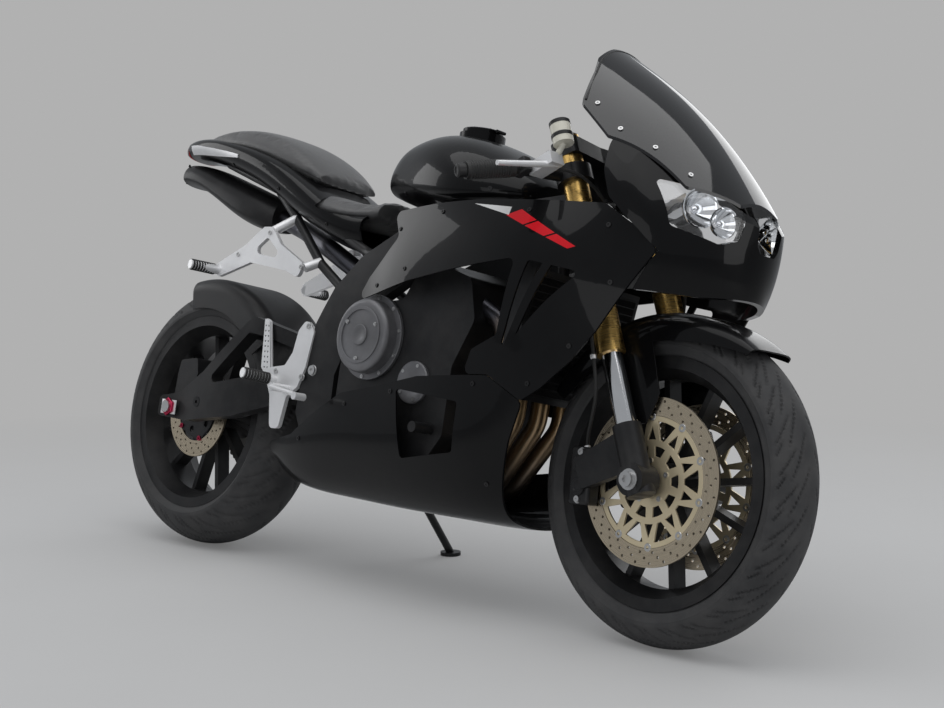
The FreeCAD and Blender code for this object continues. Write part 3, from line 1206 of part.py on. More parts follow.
high_plate = bridge_plate.translated(Vector(0, 0, val("top_bridge")))
stem_top = val("top_bridge") + val("clamp_tall") + val("stem_over")
stem = rod(Vector(-fork_offset, 0, val("low_bridge")), Vector(-fork_offset, 0, stem_top), val("stem_radius"))
clamps = low_plate.fuse([high_plate, stem])
step_up = val("low_bridge") + val("clamp_tall")
slider_part = rod(fork_spot(0, leg_y, val("slider_low")), fork_spot(0, leg_y, val("outer_low")),
                  val("slider_radius"))
wide_part = rod(fork_spot(0, leg_y, val("outer_low")), fork_spot(0, leg_y, step_up), val("outer_radius"))
slim_part = rod(fork_spot(0, leg_y, step_up), fork_spot(0, leg_y, val("fork_long")),
                val("outer_radius") - val("tube_step"))
leg_solid = wide_part.fuse([slim_part, slider_part])
legs = [leg_solid, flip(leg_solid)]
stem_hole = rod(Vector(-fork_offset, 0, val("low_bridge") - val("clamp_tall")),
                Vector(-fork_offset, 0, val("low_bridge") + val("stem_hole_deep")), val("stem_hole_radius"))
clamps = free(clamps.cut(stem_hole), legs)
grip_in = fork_spot(-val("grip_root_back"), val("grip_root_side"), val("grip_root_up"))
grip_out = fork_spot(-val("grip_end_back"), val("grip_end_side"), val("grip_end_up"))
bar_in = fork_spot(-val("bar_back"), leg_y + val("bar_side") - val("bar_sink"), val("bar_up"))
ring_root = fork_spot(0, leg_y, val("ring_low"))
ring = rod(ring_root, ring_root + Vector(0, 0, val("ring_tall")), val("clamp_radius"))
handlebar = ring.fuse([rod(bar_in, grip_in, val("bar_radius"))]).cut(leg_solid)
grip = rod(grip_in, grip_out, val("grip_radius")).cut(handlebar)
handlebars = both(handlebar)
grips = both(grip)
blade_root = fork_spot(val("blade_root_ahead"), val("blade_root_side"), val("blade_root_up"))
blade_end = fork_spot(val("blade_end_ahead"), val("blade_end_side"), val("blade_end_up"))
perch_corner = fork_spot(-val("perch_back"), val("perch_side"), val("perch_up"))
perch = Part.makeBox(val("perch_long"), val("perch_wide"), val("perch_tall"), perch_corner)
lever = rod(blade_root, blade_end, val("blade_root_radius"), val("blade_end_radius")).fuse([perch])
lever = free(lever, [handlebar, grip])
levers = both(lever)
cup_root = fork_spot(val("cup_ahead"), -val("cup_side"), val("cup_up"))
cup_arm_root = fork_spot(val("cup_arm_ahead"), -val("cup_arm_side"), val("cup_arm_up"))
cup = rod(cup_root, cup_root + Vector(0, 0, val("cup_tall")), val("cup_radius"))
cup_arm = rod(cup_arm_root, cup_root + Vector(0, 0, val("cup_arm_over")), val("cup_arm_radius"))
reservoir = free(cup.fuse([cup_arm]), [flip(lever)])
guard_outer = [Vector(0, -val("guard_half"), val("guard_low")),
               Vector(0, -val("guard_shoulder_half"), val("guard_shoulder")),
               Vector(0, -val("guard_crown_half"), val("guard_crown"))]
guard_walls = [Vector(0, val("guard_wall"), 0), Vector(0, val("guard_wall"), -val("guard_shoulder_wall")),
               Vector(0, val("guard_crown_in"), -val("guard_crown_wall"))]
guard_inner = [point + wall for point, wall in zip(guard_outer, guard_walls)]
guard_loop = guard_outer + [Vector(0, -point.y, point.z) for point in reversed(guard_outer)]
guard_loop = guard_loop + [Vector(0, -point.y, point.z) for point in guard_inner] + guard_inner[::-1]
mudguard = Part.Face(soft(guard_loop, 0)).revolve(Vector(0, 0, 0), Vector(0, 1, 0), val("guard_angle"))
mudguard.rotate(Vector(0, 0, 0), Vector(0, 1, 0), val("guard_start_angle"))
flap_outline_shares = [
    (-0.03, 0.2), (0.016, 0.1), (0.05, 0.14), (0.06, 0.28), (-0.02, 0.28),
]
flap_in = val("guard_half") - val("guard_wall")
flap = prism(flap_outline_shares, val("flap_round"), flap_in, val("guard_half"))
mudguard = mudguard.fuse([flap, flip(flap)])
mudguard = free(mudguard, legs + [lower, flip(lower)])

# Output
FIXED = [
    ("frame_spars", frame_spars), ("frame_head", frame_head), ("frame_cross_tubes", cross_tubes),
    ("engine_block", engine), ("clutch_cover", clutch), ("alternator_cover", alternator),
    ("sprocket_cover", sprocket_cover), ("radiator", radiator), ("exhaust_header", header),
    ("exhaust_muffler", muffler), ("fuel_tank", tank), ("fuel_cap", fuel_cap),
    ("foot_levers", foot_levers),
    ("rider_seat", rider_seat), ("pillion_seat", pillion_seat), ("tail_cowl", tail_cowl),
    ("subframe", subframe), ("tail_light", tail_light), ("side_fairing_left", side_left),
    ("side_fairing_right", side_right), ("belly_pan", belly), ("nose_cowl", nose),
    ("windscreen", windscreen), ("headlights", both(headlight_left)), ("instrument_panel", dash),
    ("cowl_stay", stays), ("fairing_stays", fairing_stays), ("footpeg_hangers", both(hanger)),
    ("pillion_brackets", both(pillion_arm)), ("swingarm", swingarm), ("swingarm_cross", swing_core),
    ("pivot_bolt", pivot_bolt), ("rear_axle", rear_axle), ("shock_absorber", shock),
    ("rear_caliper", rear_caliper), ("drive_chain", chain), ("front_sprocket", front_sprocket),
    ("rear_mudguard", fender), ("stand_bracket", stand_bracket), ("side_stand", side_stand),
]
STEERED = [
    ("axle_clamps", lowers), ("front_calipers", calipers), ("front_axle", front_axle),
    ("triple_clamps", clamps), ("handlebars", handlebars), ("grips", grips), ("hand_levers", levers),
    ("brake_reservoir", reservoir), ("front_mudguard", mudguard),
]
for name, shape in FIXED:
    feature(name, shape, stand)
for name, shape in STEERED:
    feature(name, shape, steer_place)
doc.recompute()

low, high = None, None
for item, place in nodes:
    posed = item.Shape.copy()
    posed.Placement = place
    box = posed.optimalBoundingBox(False)
    if low is None:
        low, high = Vector(box.XMin, box.YMin, box.ZMin), Vector(box.XMax, box.YMax, box.ZMax)
    low = Vector(min(low.x, box.XMin), min(low.y, box.YMin), min(low.z, box.ZMin))
    high = Vector(max(high.x, box.XMax), max(high.y, box.YMax), max(high.z, box.ZMax))
middle = Placement(Vector(-(low.x + high.x) / 2, -(low.y + high.y) / 2, -low.z), Rotation())
for item, place in nodes:
    item.Placement = middle.multiply(place)
doc.recompute()
for item in doc.Objects:
    if "Invalid" in item.State or "Error" in item.State:
        raise RuntimeError(item.Name + " failed")
os.makedirs("parts", exist_ok=True)
for item, place in nodes:
    if item.Shape.isNull() or not item.Shape.isValid():
        raise RuntimeError(item.Label + " has no valid shape")
    item.Shape.exportStep("parts/" + item.Label + ".step")
for title, place in (("stand", middle.multiply(stand)), ("fork", middle.multiply(steer_place))):
    print(title, tuple(place.Base), place.Rotation.Q)
print("box", tuple(high - low), "solids", sum(len(item.Shape.Solids) for item, place in nodes))
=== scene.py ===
"""Sport motorcycle on its side stand: finishes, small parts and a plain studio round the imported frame."""
import functools
import json
import math

import bmesh
import bpy
from bpy.props import FloatProperty, FloatVectorProperty, IntProperty, PointerProperty
from mathutils import Matrix, Vector
from mathutils.bvhtree import BVHTree


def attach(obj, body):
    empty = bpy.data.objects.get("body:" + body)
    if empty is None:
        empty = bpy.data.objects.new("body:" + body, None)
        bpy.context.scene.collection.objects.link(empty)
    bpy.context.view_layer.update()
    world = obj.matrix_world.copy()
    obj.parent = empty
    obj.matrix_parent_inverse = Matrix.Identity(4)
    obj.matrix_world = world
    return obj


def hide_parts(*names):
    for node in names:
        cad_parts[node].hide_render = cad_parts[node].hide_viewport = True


bl_info = {
    "name": "Sport Motorcycle Dressing",
    "version": (1, 0, 0),
    "blender": (4, 5, 0),
    "location": "View3D > Sidebar > Motorcycle",
    "description": "Finishes, tyres, trim and studio for the packed motorcycle",
    "category": "Object",
}

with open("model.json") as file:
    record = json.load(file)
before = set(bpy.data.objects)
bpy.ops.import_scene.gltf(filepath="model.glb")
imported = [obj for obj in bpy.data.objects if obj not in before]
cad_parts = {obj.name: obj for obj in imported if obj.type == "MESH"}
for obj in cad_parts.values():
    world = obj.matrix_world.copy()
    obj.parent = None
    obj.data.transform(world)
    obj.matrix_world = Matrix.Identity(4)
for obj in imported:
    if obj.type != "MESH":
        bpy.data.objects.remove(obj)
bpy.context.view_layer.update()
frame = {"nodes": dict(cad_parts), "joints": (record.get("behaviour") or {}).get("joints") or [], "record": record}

# Driving sizes in metres, and the frames of the upright machine and of its fork

JOINTS = {item["name"]: item for item in frame["joints"]}
REAR_RADIUS = 0.315
FRONT_RADIUS = 0.300
UPRIGHT = Matrix.Rotation(math.radians(90), 4, "X")
SIDES = (1, -1)
UP = (0, 0, 1)


def axes(origin, ahead, left):
    """Matrix of a frame whose X runs ahead and whose Y runs left."""
    left = left.normalized()
    ahead = (ahead - left * ahead.dot(left)).normalized()
    up = ahead.cross(left)
    return Matrix.Translation(origin) @ Matrix((ahead, left, up)).transposed().to_4x4()


def bike_frame():
    """Frame of the upright machine: X ahead of the rear axle, Z up from its tyre."""
    rear = JOINTS["rear_wheel_spin"]
    place = axes(Vector(rear["pos_m"]), Vector((1, 0, 0)), Vector(rear["axis"]))
    return place @ Matrix.Translation((0, 0, -REAR_RADIUS))


def fork_frame():
    """Frame of the steered parts: Z up along the legs from the front axle."""
    wheel = JOINTS["front_wheel_spin"]
    left, up = Vector(wheel["axis"]).normalized(), Vector(JOINTS["steering_turn"]["axis"])
    return axes(Vector(wheel["pos_m"]), left.cross(up), left)


BIKE = bike_frame()
FORK = fork_frame()
REAR_WHEEL = BIKE @ Matrix.Translation((0, 0, REAR_RADIUS))
FRAMES = {"chassis": BIKE, "fuel_cap": BIKE, "steering": FORK, "front_wheel": FORK, "rear_wheel": REAR_WHEEL}


# Settings that a user would change

class StudioSettings(bpy.types.PropertyGroup):
    """Camera and light of the studio."""
    azimuth: FloatProperty(name="Camera azimuth", description="Angle round the machine", default=43.77)
    elevation: FloatProperty(name="Camera elevation", description="Angle above the floor", default=4.5)
    roll: FloatProperty(name="Camera roll", description="Tilt of the picture", default=0.13)
    distance: FloatProperty(name="Camera distance", description="From the aim to the camera",
                            default=3.275, unit="LENGTH")
    lens: FloatProperty(name="Lens", description="Focal length on a 36 mm sensor", default=58.77)
    aim: FloatVectorProperty(name="Aim", description="Point in the middle of the picture",
                             default=(0.1125, -0.0457, 0.5018), subtype="XYZ")
    backdrop: FloatVectorProperty(name="Backdrop", description="Grey of floor and wall",
                                  default=(0.44, 0.44, 0.44), subtype="COLOR")


class FinishSettings(bpy.types.PropertyGroup):
    """Colours of the finishes."""
    paint: FloatVectorProperty(name="Paint", description="Gloss bodywork",
                               default=(0.003, 0.003, 0.0034), subtype="COLOR")
    stripe: FloatVectorProperty(name="Stripe", description="Slanted stripe of the side panels",
                                default=(0.62, 0.012, 0.02), subtype="COLOR")
    # Painted highlight: a pale band along the side panels' upper edge, drawn into the paint colour.
    sliver: FloatVectorProperty(name="Sliver", description="Pale stripe of the side panels",
                                default=(0.62, 0.62, 0.62), subtype="COLOR")
    gold: FloatVectorProperty(name="Gold", description="Anodised fork tubes",
                              default=(0.80, 0.52, 0.17), subtype="COLOR")
    silver: FloatVectorProperty(name="Silver", description="Bare aluminium",
                                default=(0.84, 0.84, 0.85), subtype="COLOR")
    rubber: FloatVectorProperty(name="Rubber", description="Tyre rubber",
                                default=(0.028, 0.028, 0.029), subtype="COLOR")


class TyreSettings(bpy.types.PropertyGroup):
    """Sizes of the tyres' road pattern."""
    around: IntProperty(name="Steps round", description="Faces round the tread", default=640)
    across: IntProperty(name="Steps across", description="Faces across the tread", default=44)
    groove_deep: FloatProperty(name="Groove depth", description="Depth of the grooves",
                               default=0.0035, unit="LENGTH")
    groove_wide: FloatProperty(name="Groove width", description="Width of the grooves",
                               default=0.0075, unit="LENGTH")


class TrimSettings(bpy.types.PropertyGroup):
    """Sizes of the small parts."""
    bolt_tall: FloatProperty(name="Bolt height", description="Height of a bolt head for a radius of one",
                             default=0.8)
    hose_radius: FloatProperty(name="Hose radius", description="Brake hoses", default=0.0034, unit="LENGTH")
    chain_pitch: FloatProperty(name="Chain pitch", description="From pin to pin",
                               default=0.01594, unit="LENGTH")
    chain_links: IntProperty(name="Chain links", description="Links of the drive chain", default=106)
    hole_radius: FloatProperty(name="Disc hole", description="Radius of the holes in the discs",
                               default=0.0026, unit="LENGTH")


SETTINGS = {"studio": StudioSettings, "finish": FinishSettings, "tyre": TyreSettings, "trim": TrimSettings}


def chosen(group):
    """Settings of one group, as they stand in the scene."""
    return getattr(bpy.context.scene, "moto_" + group)


# Node trees

class Number:
    """Value inside a node tree, which the plain signs work on."""

    def __init__(self, tree, socket):
        self.tree, self.socket = tree, socket

    def work(self, operation, *others, clamp=False):
        values = dict(enumerate((self, *others)))
        node = add(self.tree, "ShaderNodeMath", values, operation=operation, use_clamp=clamp)
        return Number(self.tree, node.outputs[0])

    def __add__(self, other):
        return self.work("ADD", other)

    def __sub__(self, other):
        return self.work("SUBTRACT", other)

    def __mul__(self, other):
        return self.work("MULTIPLY", other)

    def __truediv__(self, other):
        return self.work("DIVIDE", other)

    def __lt__(self, other):
        return self.work("LESS_THAN", other)

    def __gt__(self, other):
        return self.work("GREATER_THAN", other)

    def __abs__(self):
        return self.work("ABSOLUTE")


def plug(tree, socket, value):
    """Gives a socket a link or a plain value; a colour needs only its three parts."""
    if isinstance(value, Number):
        value = value.socket
    if isinstance(value, bpy.types.NodeSocket):
        tree.links.new(value, socket)
    elif socket.type == "RGBA":
        socket.default_value = (*value[:3], 1)
    else:
        socket.default_value = value


def add(tree, kind, inputs=None, **settings):
    """New node with its settings; an input takes a value or another node's socket."""
    node = tree.nodes.new(kind)
    for name, value in settings.items():
        setattr(node, name, value)
    for name, value in (inputs or {}).items():
        plug(tree, node.inputs[name], value)
    return node


def numbers(node):
    """Outputs of a node, ready for plain signs."""
    return [Number(node.id_data, socket) for socket in node.outputs]


def noise(tree, vector, scale, detail, roughness=0.5):
    """Cloudy value from 0 to 1."""
    return numbers(add(tree, "ShaderNodeTexNoise", {
        "Vector": vector, "Scale": scale, "Detail": detail, "Roughness": roughness}))[0]


def spread(tree, value, low, high, new_low=0.0, new_high=1.0):
    """Value mapped from one range to another and kept inside it."""
    return numbers(add(tree, "ShaderNodeMapRange", {
        "Value": value, "From Min": low, "From Max": high, "To Min": new_low, "To Max": new_high}))[0]


def mix(tree, share, first, second):
    """Colour between two colours; 6 and 7 are the Mix node's colour inputs, and 2 its colour output."""
    return add(tree, "ShaderNodeMix", {0: share, 6: first, 7: second}, data_type="RGBA").outputs[2]


def scaled(colour, share):
    """Darker or lighter shade of a colour."""
    return tuple(part * share for part in colour)


def socket_kind(value):
    """Kind of socket that a default value needs; None stands for geometry."""
    if value is None:
        return "NodeSocketGeometry"
    if isinstance(value, tuple):
        return "NodeSocketColor" if len(value) == 4 else "NodeSocketVector"
    return "NodeSocketInt" if isinstance(value, int) else "NodeSocketFloat"


def new_group(name, kind, inputs, outputs):
    """Node group with sockets of the given names and defaults, with its inner input and output."""
    group = bpy.data.node_groups.new(name, kind)
    for way, sockets in (("INPUT", inputs), ("OUTPUT", outputs)):
        for label, value in sockets.items():
            socket = group.interface.new_socket(label, in_out=way, socket_type=socket_kind(value))
            if way == "INPUT" and value is not None:
                socket.default_value = value
    return group, group.nodes.new("NodeGroupInput").outputs, group.nodes.new("NodeGroupOutput").inputs


ORIGIN = (0.0, 0.0, 0.0)
BLACK = (0.0, 0.0, 0.0, 1.0)
ROAD_DUST = (0.16, 0.15, 0.14)


@functools.cache
def grain_group():
    """Fine moulded or cast grain: a height, and a slow cloudy value."""
    group, given, out = new_group("Surface Grain", "ShaderNodeTree", {
        "Vector": ORIGIN, "Scale": 900.0, "Cloud Scale": 9.0}, {"Height": 0.0, "Cloud": 0.0})
    cloud = noise(group, given["Vector"], given["Cloud Scale"], detail=5.0, roughness=0.6)
    plug(group, out["Height"], noise(group, given["Vector"], given["Scale"], detail=3.0))
    plug(group, out["Cloud"], spread(group, cloud, 0.3, 0.7))
    return group


@functools.cache
def dust_group():
    """Thin road dust and hand marks: a changed colour and roughness."""
    group, given, out = new_group("Light Dust", "ShaderNodeTree", {
        "Vector": ORIGIN, "Colour": BLACK, "Roughness": 0.2, "Amount": 0.1, "Scale": 14.0},
        {"Colour": BLACK, "Roughness": 0.0})
    dulling = 1.2
    cloud = noise(group, given["Vector"], given["Scale"], detail=6.0, roughness=0.7)
    share = spread(group, cloud, 0.42, 0.75) * given["Amount"]
    plug(group, out["Colour"], mix(group, share, given["Colour"], ROAD_DUST))
    plug(group, out["Roughness"], (share * dulling).work("ADD", given["Roughness"], clamp=True))
    return group


@functools.cache
def brushed_group():
    """Hair lines along one direction, given by a stretched vector."""
    group, given, out = new_group("Hair Lines", "ShaderNodeTree", {
        "Vector": ORIGIN, "Scale": 60.0}, {"Height": 0.0, "Roughness": 0.0})
    lines = noise(group, given["Vector"], given["Scale"], detail=4.0)
    plug(group, out["Height"], lines)
    plug(group, out["Roughness"], spread(group, lines, 0.3, 0.7, 0.22, 0.4))
    return group


def in_frame(tree, matrix, stretch=None):
    """Object coordinates turned into a frame of the machine."""
    place = add(tree, "ShaderNodeTexCoord").outputs["Object"]
    own = add(tree, "ShaderNodeMapping", {
        "Vector": place, "Location": matrix.translation, "Rotation": matrix.to_euler("XYZ")},
        vector_type="TEXTURE").outputs[0]
    if stretch:
        return add(tree, "ShaderNodeMapping", {"Vector": own, "Scale": stretch}).outputs[0]
    return own


def distances(tree, matrix):
    """Distances ahead, to the left and up in a frame of the machine."""
    return numbers(add(tree, "ShaderNodeSeparateXYZ", {0: in_frame(tree, matrix)}))


# Finishes

class Finish:
    """A material with one Principled shader, filled in step by step."""

    def __init__(self, name, **values):
        self.material = bpy.data.materials.new(name)
        self.material.use_nodes = True
        self.tree = self.material.node_tree
        self.tree.nodes.clear()
        self.shader = add(self.tree, "ShaderNodeBsdfPrincipled")
        add(self.tree, "ShaderNodeOutputMaterial", {"Surface": self.shader.outputs[0]})
        self.vector = add(self.tree, "ShaderNodeTexCoord").outputs["Object"]
        for label, value in values.items():
            self.set(label.replace("_", " "), value)

    def set(self, label, value):
        plug(self.tree, self.shader.inputs[label], value)

    def bump(self, height, distance, strength=1.0):
        node = add(self.tree, "ShaderNodeBump", {
            "Height": height, "Distance": distance, "Strength": strength})
        self.set("Normal", node.outputs[0])

    def dusty(self, colour, roughness, amount, scale=14.0):
        """Colour and roughness under a thin dust."""
        node = add(self.tree, "ShaderNodeGroup", {
            "Vector": self.vector, "Colour": colour, "Roughness": roughness, "Amount": amount,
            "Scale": scale}, node_tree=dust_group())
        self.set("Base Color", node.outputs[0])
        self.set("Roughness", node.outputs[1])

    def clouds(self, scale, cloud_scale):
        """Height of a fine grain, and a slow cloudy value."""
        return numbers(add(self.tree, "ShaderNodeGroup", {
            "Vector": self.vector, "Scale": scale, "Cloud Scale": cloud_scale}, node_tree=grain_group()))

    def grain(self, scale, distance):
        """Raised grain; gives the cloudy value for shades."""
        height, cloud = self.clouds(scale, cloud_scale=9.0)
        self.bump(height, distance)
        return cloud

    def uneven(self, scale, detail, low, high, smooth, rough):
        """Roughness that wanders between two values; gives the finished material."""
        haze = noise(self.tree, self.vector, scale, detail)
        self.set("Roughness", spread(self.tree, haze, low, high, smooth, rough))
        return self.material


def striped(tree, colour):
    """Red slanted dashes and a pale painted highlight along the upper edge over a colour, laid out on the panel's
    side view.
    """
    start, end = Vector((1.078, 0.768)), Vector((1.236, 0.699))
    half_start, half_end, slant, dashes, gap_share = 0.0125, 0.0055, -1.1, 3, 0.09
    highlight_start, highlight_end, highlight_up, highlight_drop, highlight_half = 0.965, 1.072, 0.7865, -0.018, 0.0085
    panel_inside = 0.1
    ahead, left, up = distances(tree, BIKE)
    outer = abs(left) > panel_inside
    length, way = (end - start).length, (end - start).normalized()
    run, rise = ahead - start.x, up - start.y
    off = rise * way.x - run * way.y
    along = run * way.x + rise * way.y + off * slant
    band = abs(off) < spread(tree, along, 0.0, length, half_start, half_end)
    dash = (along / (length / dashes)).work("FRACT") > gap_share
    red = band * (along > 0.0) * (along < length) * dash * outer
    # Painted highlight: a pale tapered band near the panel's upper edge, mixed into the colour.
    share = spread(tree, ahead, highlight_start, highlight_end)
    middle = share * highlight_drop + highlight_up
    pale = (abs(up - middle) < share * highlight_half) * (ahead < highlight_end) * outer
    return mix(tree, pale, mix(tree, red, colour, chosen("finish").stripe), chosen("finish").sliver)


def gloss_paint(name, stripes=False):
    """Deep gloss lacquer; the side panels carry slanted stripes and a painted highlight."""
    item = Finish(name, Metallic=0.0, Coat_Weight=0.6, Coat_Roughness=0.035, Coat_IOR=1.32,
                  Specular_IOR_Level=0.05)
    colour = chosen("finish").paint
    shade = striped(item.tree, colour) if stripes else colour
    item.dusty(shade, roughness=0.3, amount=0.012, scale=6.0)
    orange_peel = noise(item.tree, item.vector, 160.0, detail=1.0)
    item.bump(orange_peel, distance=0.00006)
    return item.material


def moulded_plastic(name, colour, roughness):
    item = Finish(name, Metallic=0.0, Specular_IOR_Level=0.3)
    item.dusty(colour, roughness, amount=0.08)
    item.grain(scale=1400.0, distance=0.00012)
    return item.material


def coated_metal(name, colour, roughness, metallic=0.35, grain=1100.0, deep=0.00008):
    """Powder coat or casting: fine grain and a slow change of shade."""
    item = Finish(name, Metallic=metallic, Specular_IOR_Level=0.3)
    shade = mix(item.tree, item.grain(grain, deep), scaled(colour, 0.75), scaled(colour, 1.25))
    item.dusty(shade, roughness, amount=0.1)
    return item.material


def anodised(name, colour):
    """Anodised tube: fine lines round it."""
    item = Finish(name, Metallic=1.0)
    round_the_leg = in_frame(item.tree, FORK, (0.2, 0.2, 14))
    height, roughness = numbers(add(item.tree, "ShaderNodeGroup", {
        "Vector": round_the_leg, "Scale": 70.0}, node_tree=brushed_group()))
    cloud = item.clouds(scale=300.0, cloud_scale=7.0)[1]
    item.set("Base Color", mix(item.tree, cloud, scaled(colour, 0.85), colour))
    item.set("Roughness", roughness)
    item.bump(height, distance=0.00002)
    return item.material


def turned_metal(name, matrix, colour):
    """Ground disc: rings round the wheel's axle."""
    rings_per_metre = 420.0
    item = Finish(name, Metallic=1.0)
    ahead, _, up = distances(item.tree, matrix)
    radius = (ahead * ahead + up * up).work("SQRT")
    ring = numbers(add(item.tree, "ShaderNodeTexNoise", {
        "W": radius * rings_per_metre, "Scale": 1.0, "Detail": 4.0}, noise_dimensions="1D"))[0]
    item.set("Base Color", mix(item.tree, ring, scaled(colour, 0.8), colour))
    item.set("Roughness", spread(item.tree, ring, 0.3, 0.7, 0.2, 0.38))
    item.bump(ring, distance=0.00004)
    return item.material


def bright_metal(name, colour, roughness=0.25, dust=0.06, metallic=1.0):
    item = Finish(name, Metallic=metallic)
    shade = mix(item.tree, item.grain(scale=700.0, distance=0.00003), scaled(colour, 0.86), colour)
    item.dusty(shade, roughness, dust, scale=22.0)
    return item.material


def heated_steel(name):
    """Exhaust steel: straw and blue tints where it runs hot, near the cylinder head."""
    cool, straw, blue, straw_share = (0.30, 0.27, 0.25, 1), (0.42, 0.28, 0.14, 1), (0.10, 0.10, 0.115, 1), 0.6
    low, high, ragged = 0.2, 0.62, 0.06
    item = Finish(name, Metallic=1.0)
    height, cloud = item.clouds(scale=500.0, cloud_scale=12.0)
    level = distances(item.tree, BIKE)[2] + cloud * ragged
    ramp = add(item.tree, "ShaderNodeValToRGB", {0: spread(item.tree, level, low, high)})
    ramp.color_ramp.elements[0].color = cool
    ramp.color_ramp.elements[1].color = blue
    ramp.color_ramp.elements.new(straw_share).color = straw
    item.set("Base Color", ramp.outputs[0])
    item.set("Roughness", spread(item.tree, cloud, 0, 1, 0.28, 0.42))
    item.bump(height, distance=0.00005)
    return item.material


def tyre_rubber(name):
    item = Finish(name, Metallic=0.0, Specular_IOR_Level=0.35)
    colour = chosen("finish").rubber
    shade = mix(item.tree, item.grain(scale=800.0, distance=0.00015), colour, scaled(colour, 1.7))
    item.dusty(shade, roughness=0.62, amount=0.16, scale=18.0)
    return item.material


def soft_rubber(name):
    item = Finish(name, Metallic=0.0, Specular_IOR_Level=0.4)
    item.dusty((0.014, 0.014, 0.014), roughness=0.55, amount=0.08)
    item.grain(scale=1800.0, distance=0.00015)
    return item.material


def seat_vinyl(name):
    """Grained seat cover: cells of leather grain with soft folds."""
    fold_share, cell_top = 1.4, 0.25
    item = Finish(name, Metallic=0.0, Sheen_Weight=0.25, Specular_IOR_Level=0.55)
    cells = numbers(add(item.tree, "ShaderNodeTexVoronoi", {
        "Vector": item.vector, "Scale": 520.0}, feature="DISTANCE_TO_EDGE"))[0]
    folds = noise(item.tree, item.vector, 26.0, detail=3.0)
    item.bump(folds * fold_share + cells.work("MINIMUM", cell_top), distance=0.0004, strength=0.7)
    item.dusty((0.036, 0.036, 0.037), roughness=0.4, amount=0.1, scale=30.0)
    return item.material


def clear_plastic(name, colour, roughness=0.02):
    item = Finish(name, Transmission_Weight=1.0, IOR=1.49, Metallic=0.0, Base_Color=colour)
    return item.uneven(scale=30.0, detail=4.0, low=0.4, high=0.8, smooth=roughness, rough=roughness + 0.05)


def smoked_plastic(name):
    """Dark tinted screen: mostly gloss, a little see-through."""
    item = Finish(name, Transmission_Weight=0.3, IOR=1.45, Metallic=0.0, Coat_Weight=0.2,
                  Base_Color=(0.012, 0.012, 0.013))
    return item.uneven(scale=18.0, detail=4.0, low=0.4, high=0.8, smooth=0.03, rough=0.09)


def mirror_metal(name):
    item = Finish(name, Metallic=1.0, Base_Color=(0.86, 0.87, 0.88))
    return item.uneven(scale=90.0, detail=1.0, low=0.3, high=0.7, smooth=0.05, rough=0.14)


def dial_face(name):
    """Matt dial with a slight cloudy sheen."""
    item = Finish(name, Metallic=0.0)
    item.dusty((0.012, 0.012, 0.013), roughness=0.5, amount=0.05)
    item.grain(scale=900.0, distance=0.00004)
    return item.material


@functools.cache
def mat(name):
    """Material by the record's slot name or by a name of this file, made once."""
    silver, gold = tuple(chosen("finish").silver), tuple(chosen("finish").gold)
    makers = {  # maker, name, then its colour, roughness and other values
        "tyre_rubber": (tyre_rubber, "Tyre Rubber"),
        "gloss_black": (gloss_paint, "Gloss Black Lacquer"),
        "striped_black": (gloss_paint, "Gloss Black Striped", True),
        "satin_black": (moulded_plastic, "Satin Black Plastic", (0.014, 0.014, 0.015), 0.4),
        "black_metal": (coated_metal, "Black Coated Metal", (0.018, 0.018, 0.019), 0.34),
        "dark_grey_metal": (coated_metal, "Dark Grey Casting", (0.17, 0.17, 0.178), 0.4, 0.6, 800.0, 0.00015),
        "gold_anodised": (anodised, "Gold Anodised", gold),
        "front_disc_steel": (turned_metal, "Front Disc Steel", FORK, (0.60, 0.51, 0.38)),
        "bright_steel": (turned_metal, "Rear Disc Steel", REAR_WHEEL, (0.60, 0.59, 0.57)),
        "rear_disc_cream": (turned_metal, "Rear Rotor Steel", REAR_WHEEL, (0.60, 0.51, 0.38)),
        "slider_chrome": (bright_metal, "Slider Chrome", (0.80, 0.80, 0.81), 0.1, 0.02),
        "silver_aluminium": (bright_metal, "Silver Aluminium", silver, 0.36, 0.03, 0.45),
        "exhaust_steel": (heated_steel, "Heated Steel"),
        "chain_steel": (bright_metal, "Chain Steel", (0.30, 0.29, 0.27), 0.36, 0.2),
        "soft_rubber": (soft_rubber, "Soft Rubber"),
        "seat_vinyl": (seat_vinyl, "Seat Vinyl"),
        "smoked_screen": (smoked_plastic, "Smoked Screen"),
        "clear_lens": (clear_plastic, "Clear Lens", (0.97, 0.98, 1.0)),
        "red_lens": (clear_plastic, "Red Lens", (0.55, 0.01, 0.01), 0.08),
        "white_plastic": (moulded_plastic, "Pale Reservoir Plastic", (0.62, 0.60, 0.52), 0.3),
        "lamp_mirror": (mirror_metal, "Lamp Mirror"),
        "bolt_steel": (bright_metal, "Bolt Steel", (0.60, 0.60, 0.60), 0.3, 0.1),
        "web_cream": (bright_metal, "Carrier Cream Gold", (0.80, 0.68, 0.46), 0.34, 0.03, 0.75),
        "red_anodised": (bright_metal, "Red Anodised", (0.45, 0.03, 0.08), 0.3, 0.02),
        "dial": (dial_face, "Dial Face"),
    }
    maker, *values = makers[name]
    return maker(*values)


# Meshes

def link(name, data, material=None):
    """New object in the scene, with its material."""
    item = bpy.data.objects.new(name, data)
    bpy.context.scene.collection.objects.link(item)
    if material:
        data.materials.clear()
        data.materials.append(mat(material))
    return item


def piece(name, meshes, body, slot, material=None, angle=35.0, placed=False):
    """Finished piece of one mesh or several: placed in its mesh, smooth up to an angle, riding on a body."""
    mesh = joined(meshes) if isinstance(meshes, list) else meshes
    mesh.name = name
    if not placed:
        mesh.transform(FRAMES[body])
    mesh.update()
    item = link(name, mesh, material or slot)
    smooth(item, angle)
    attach(item, body)
    return item


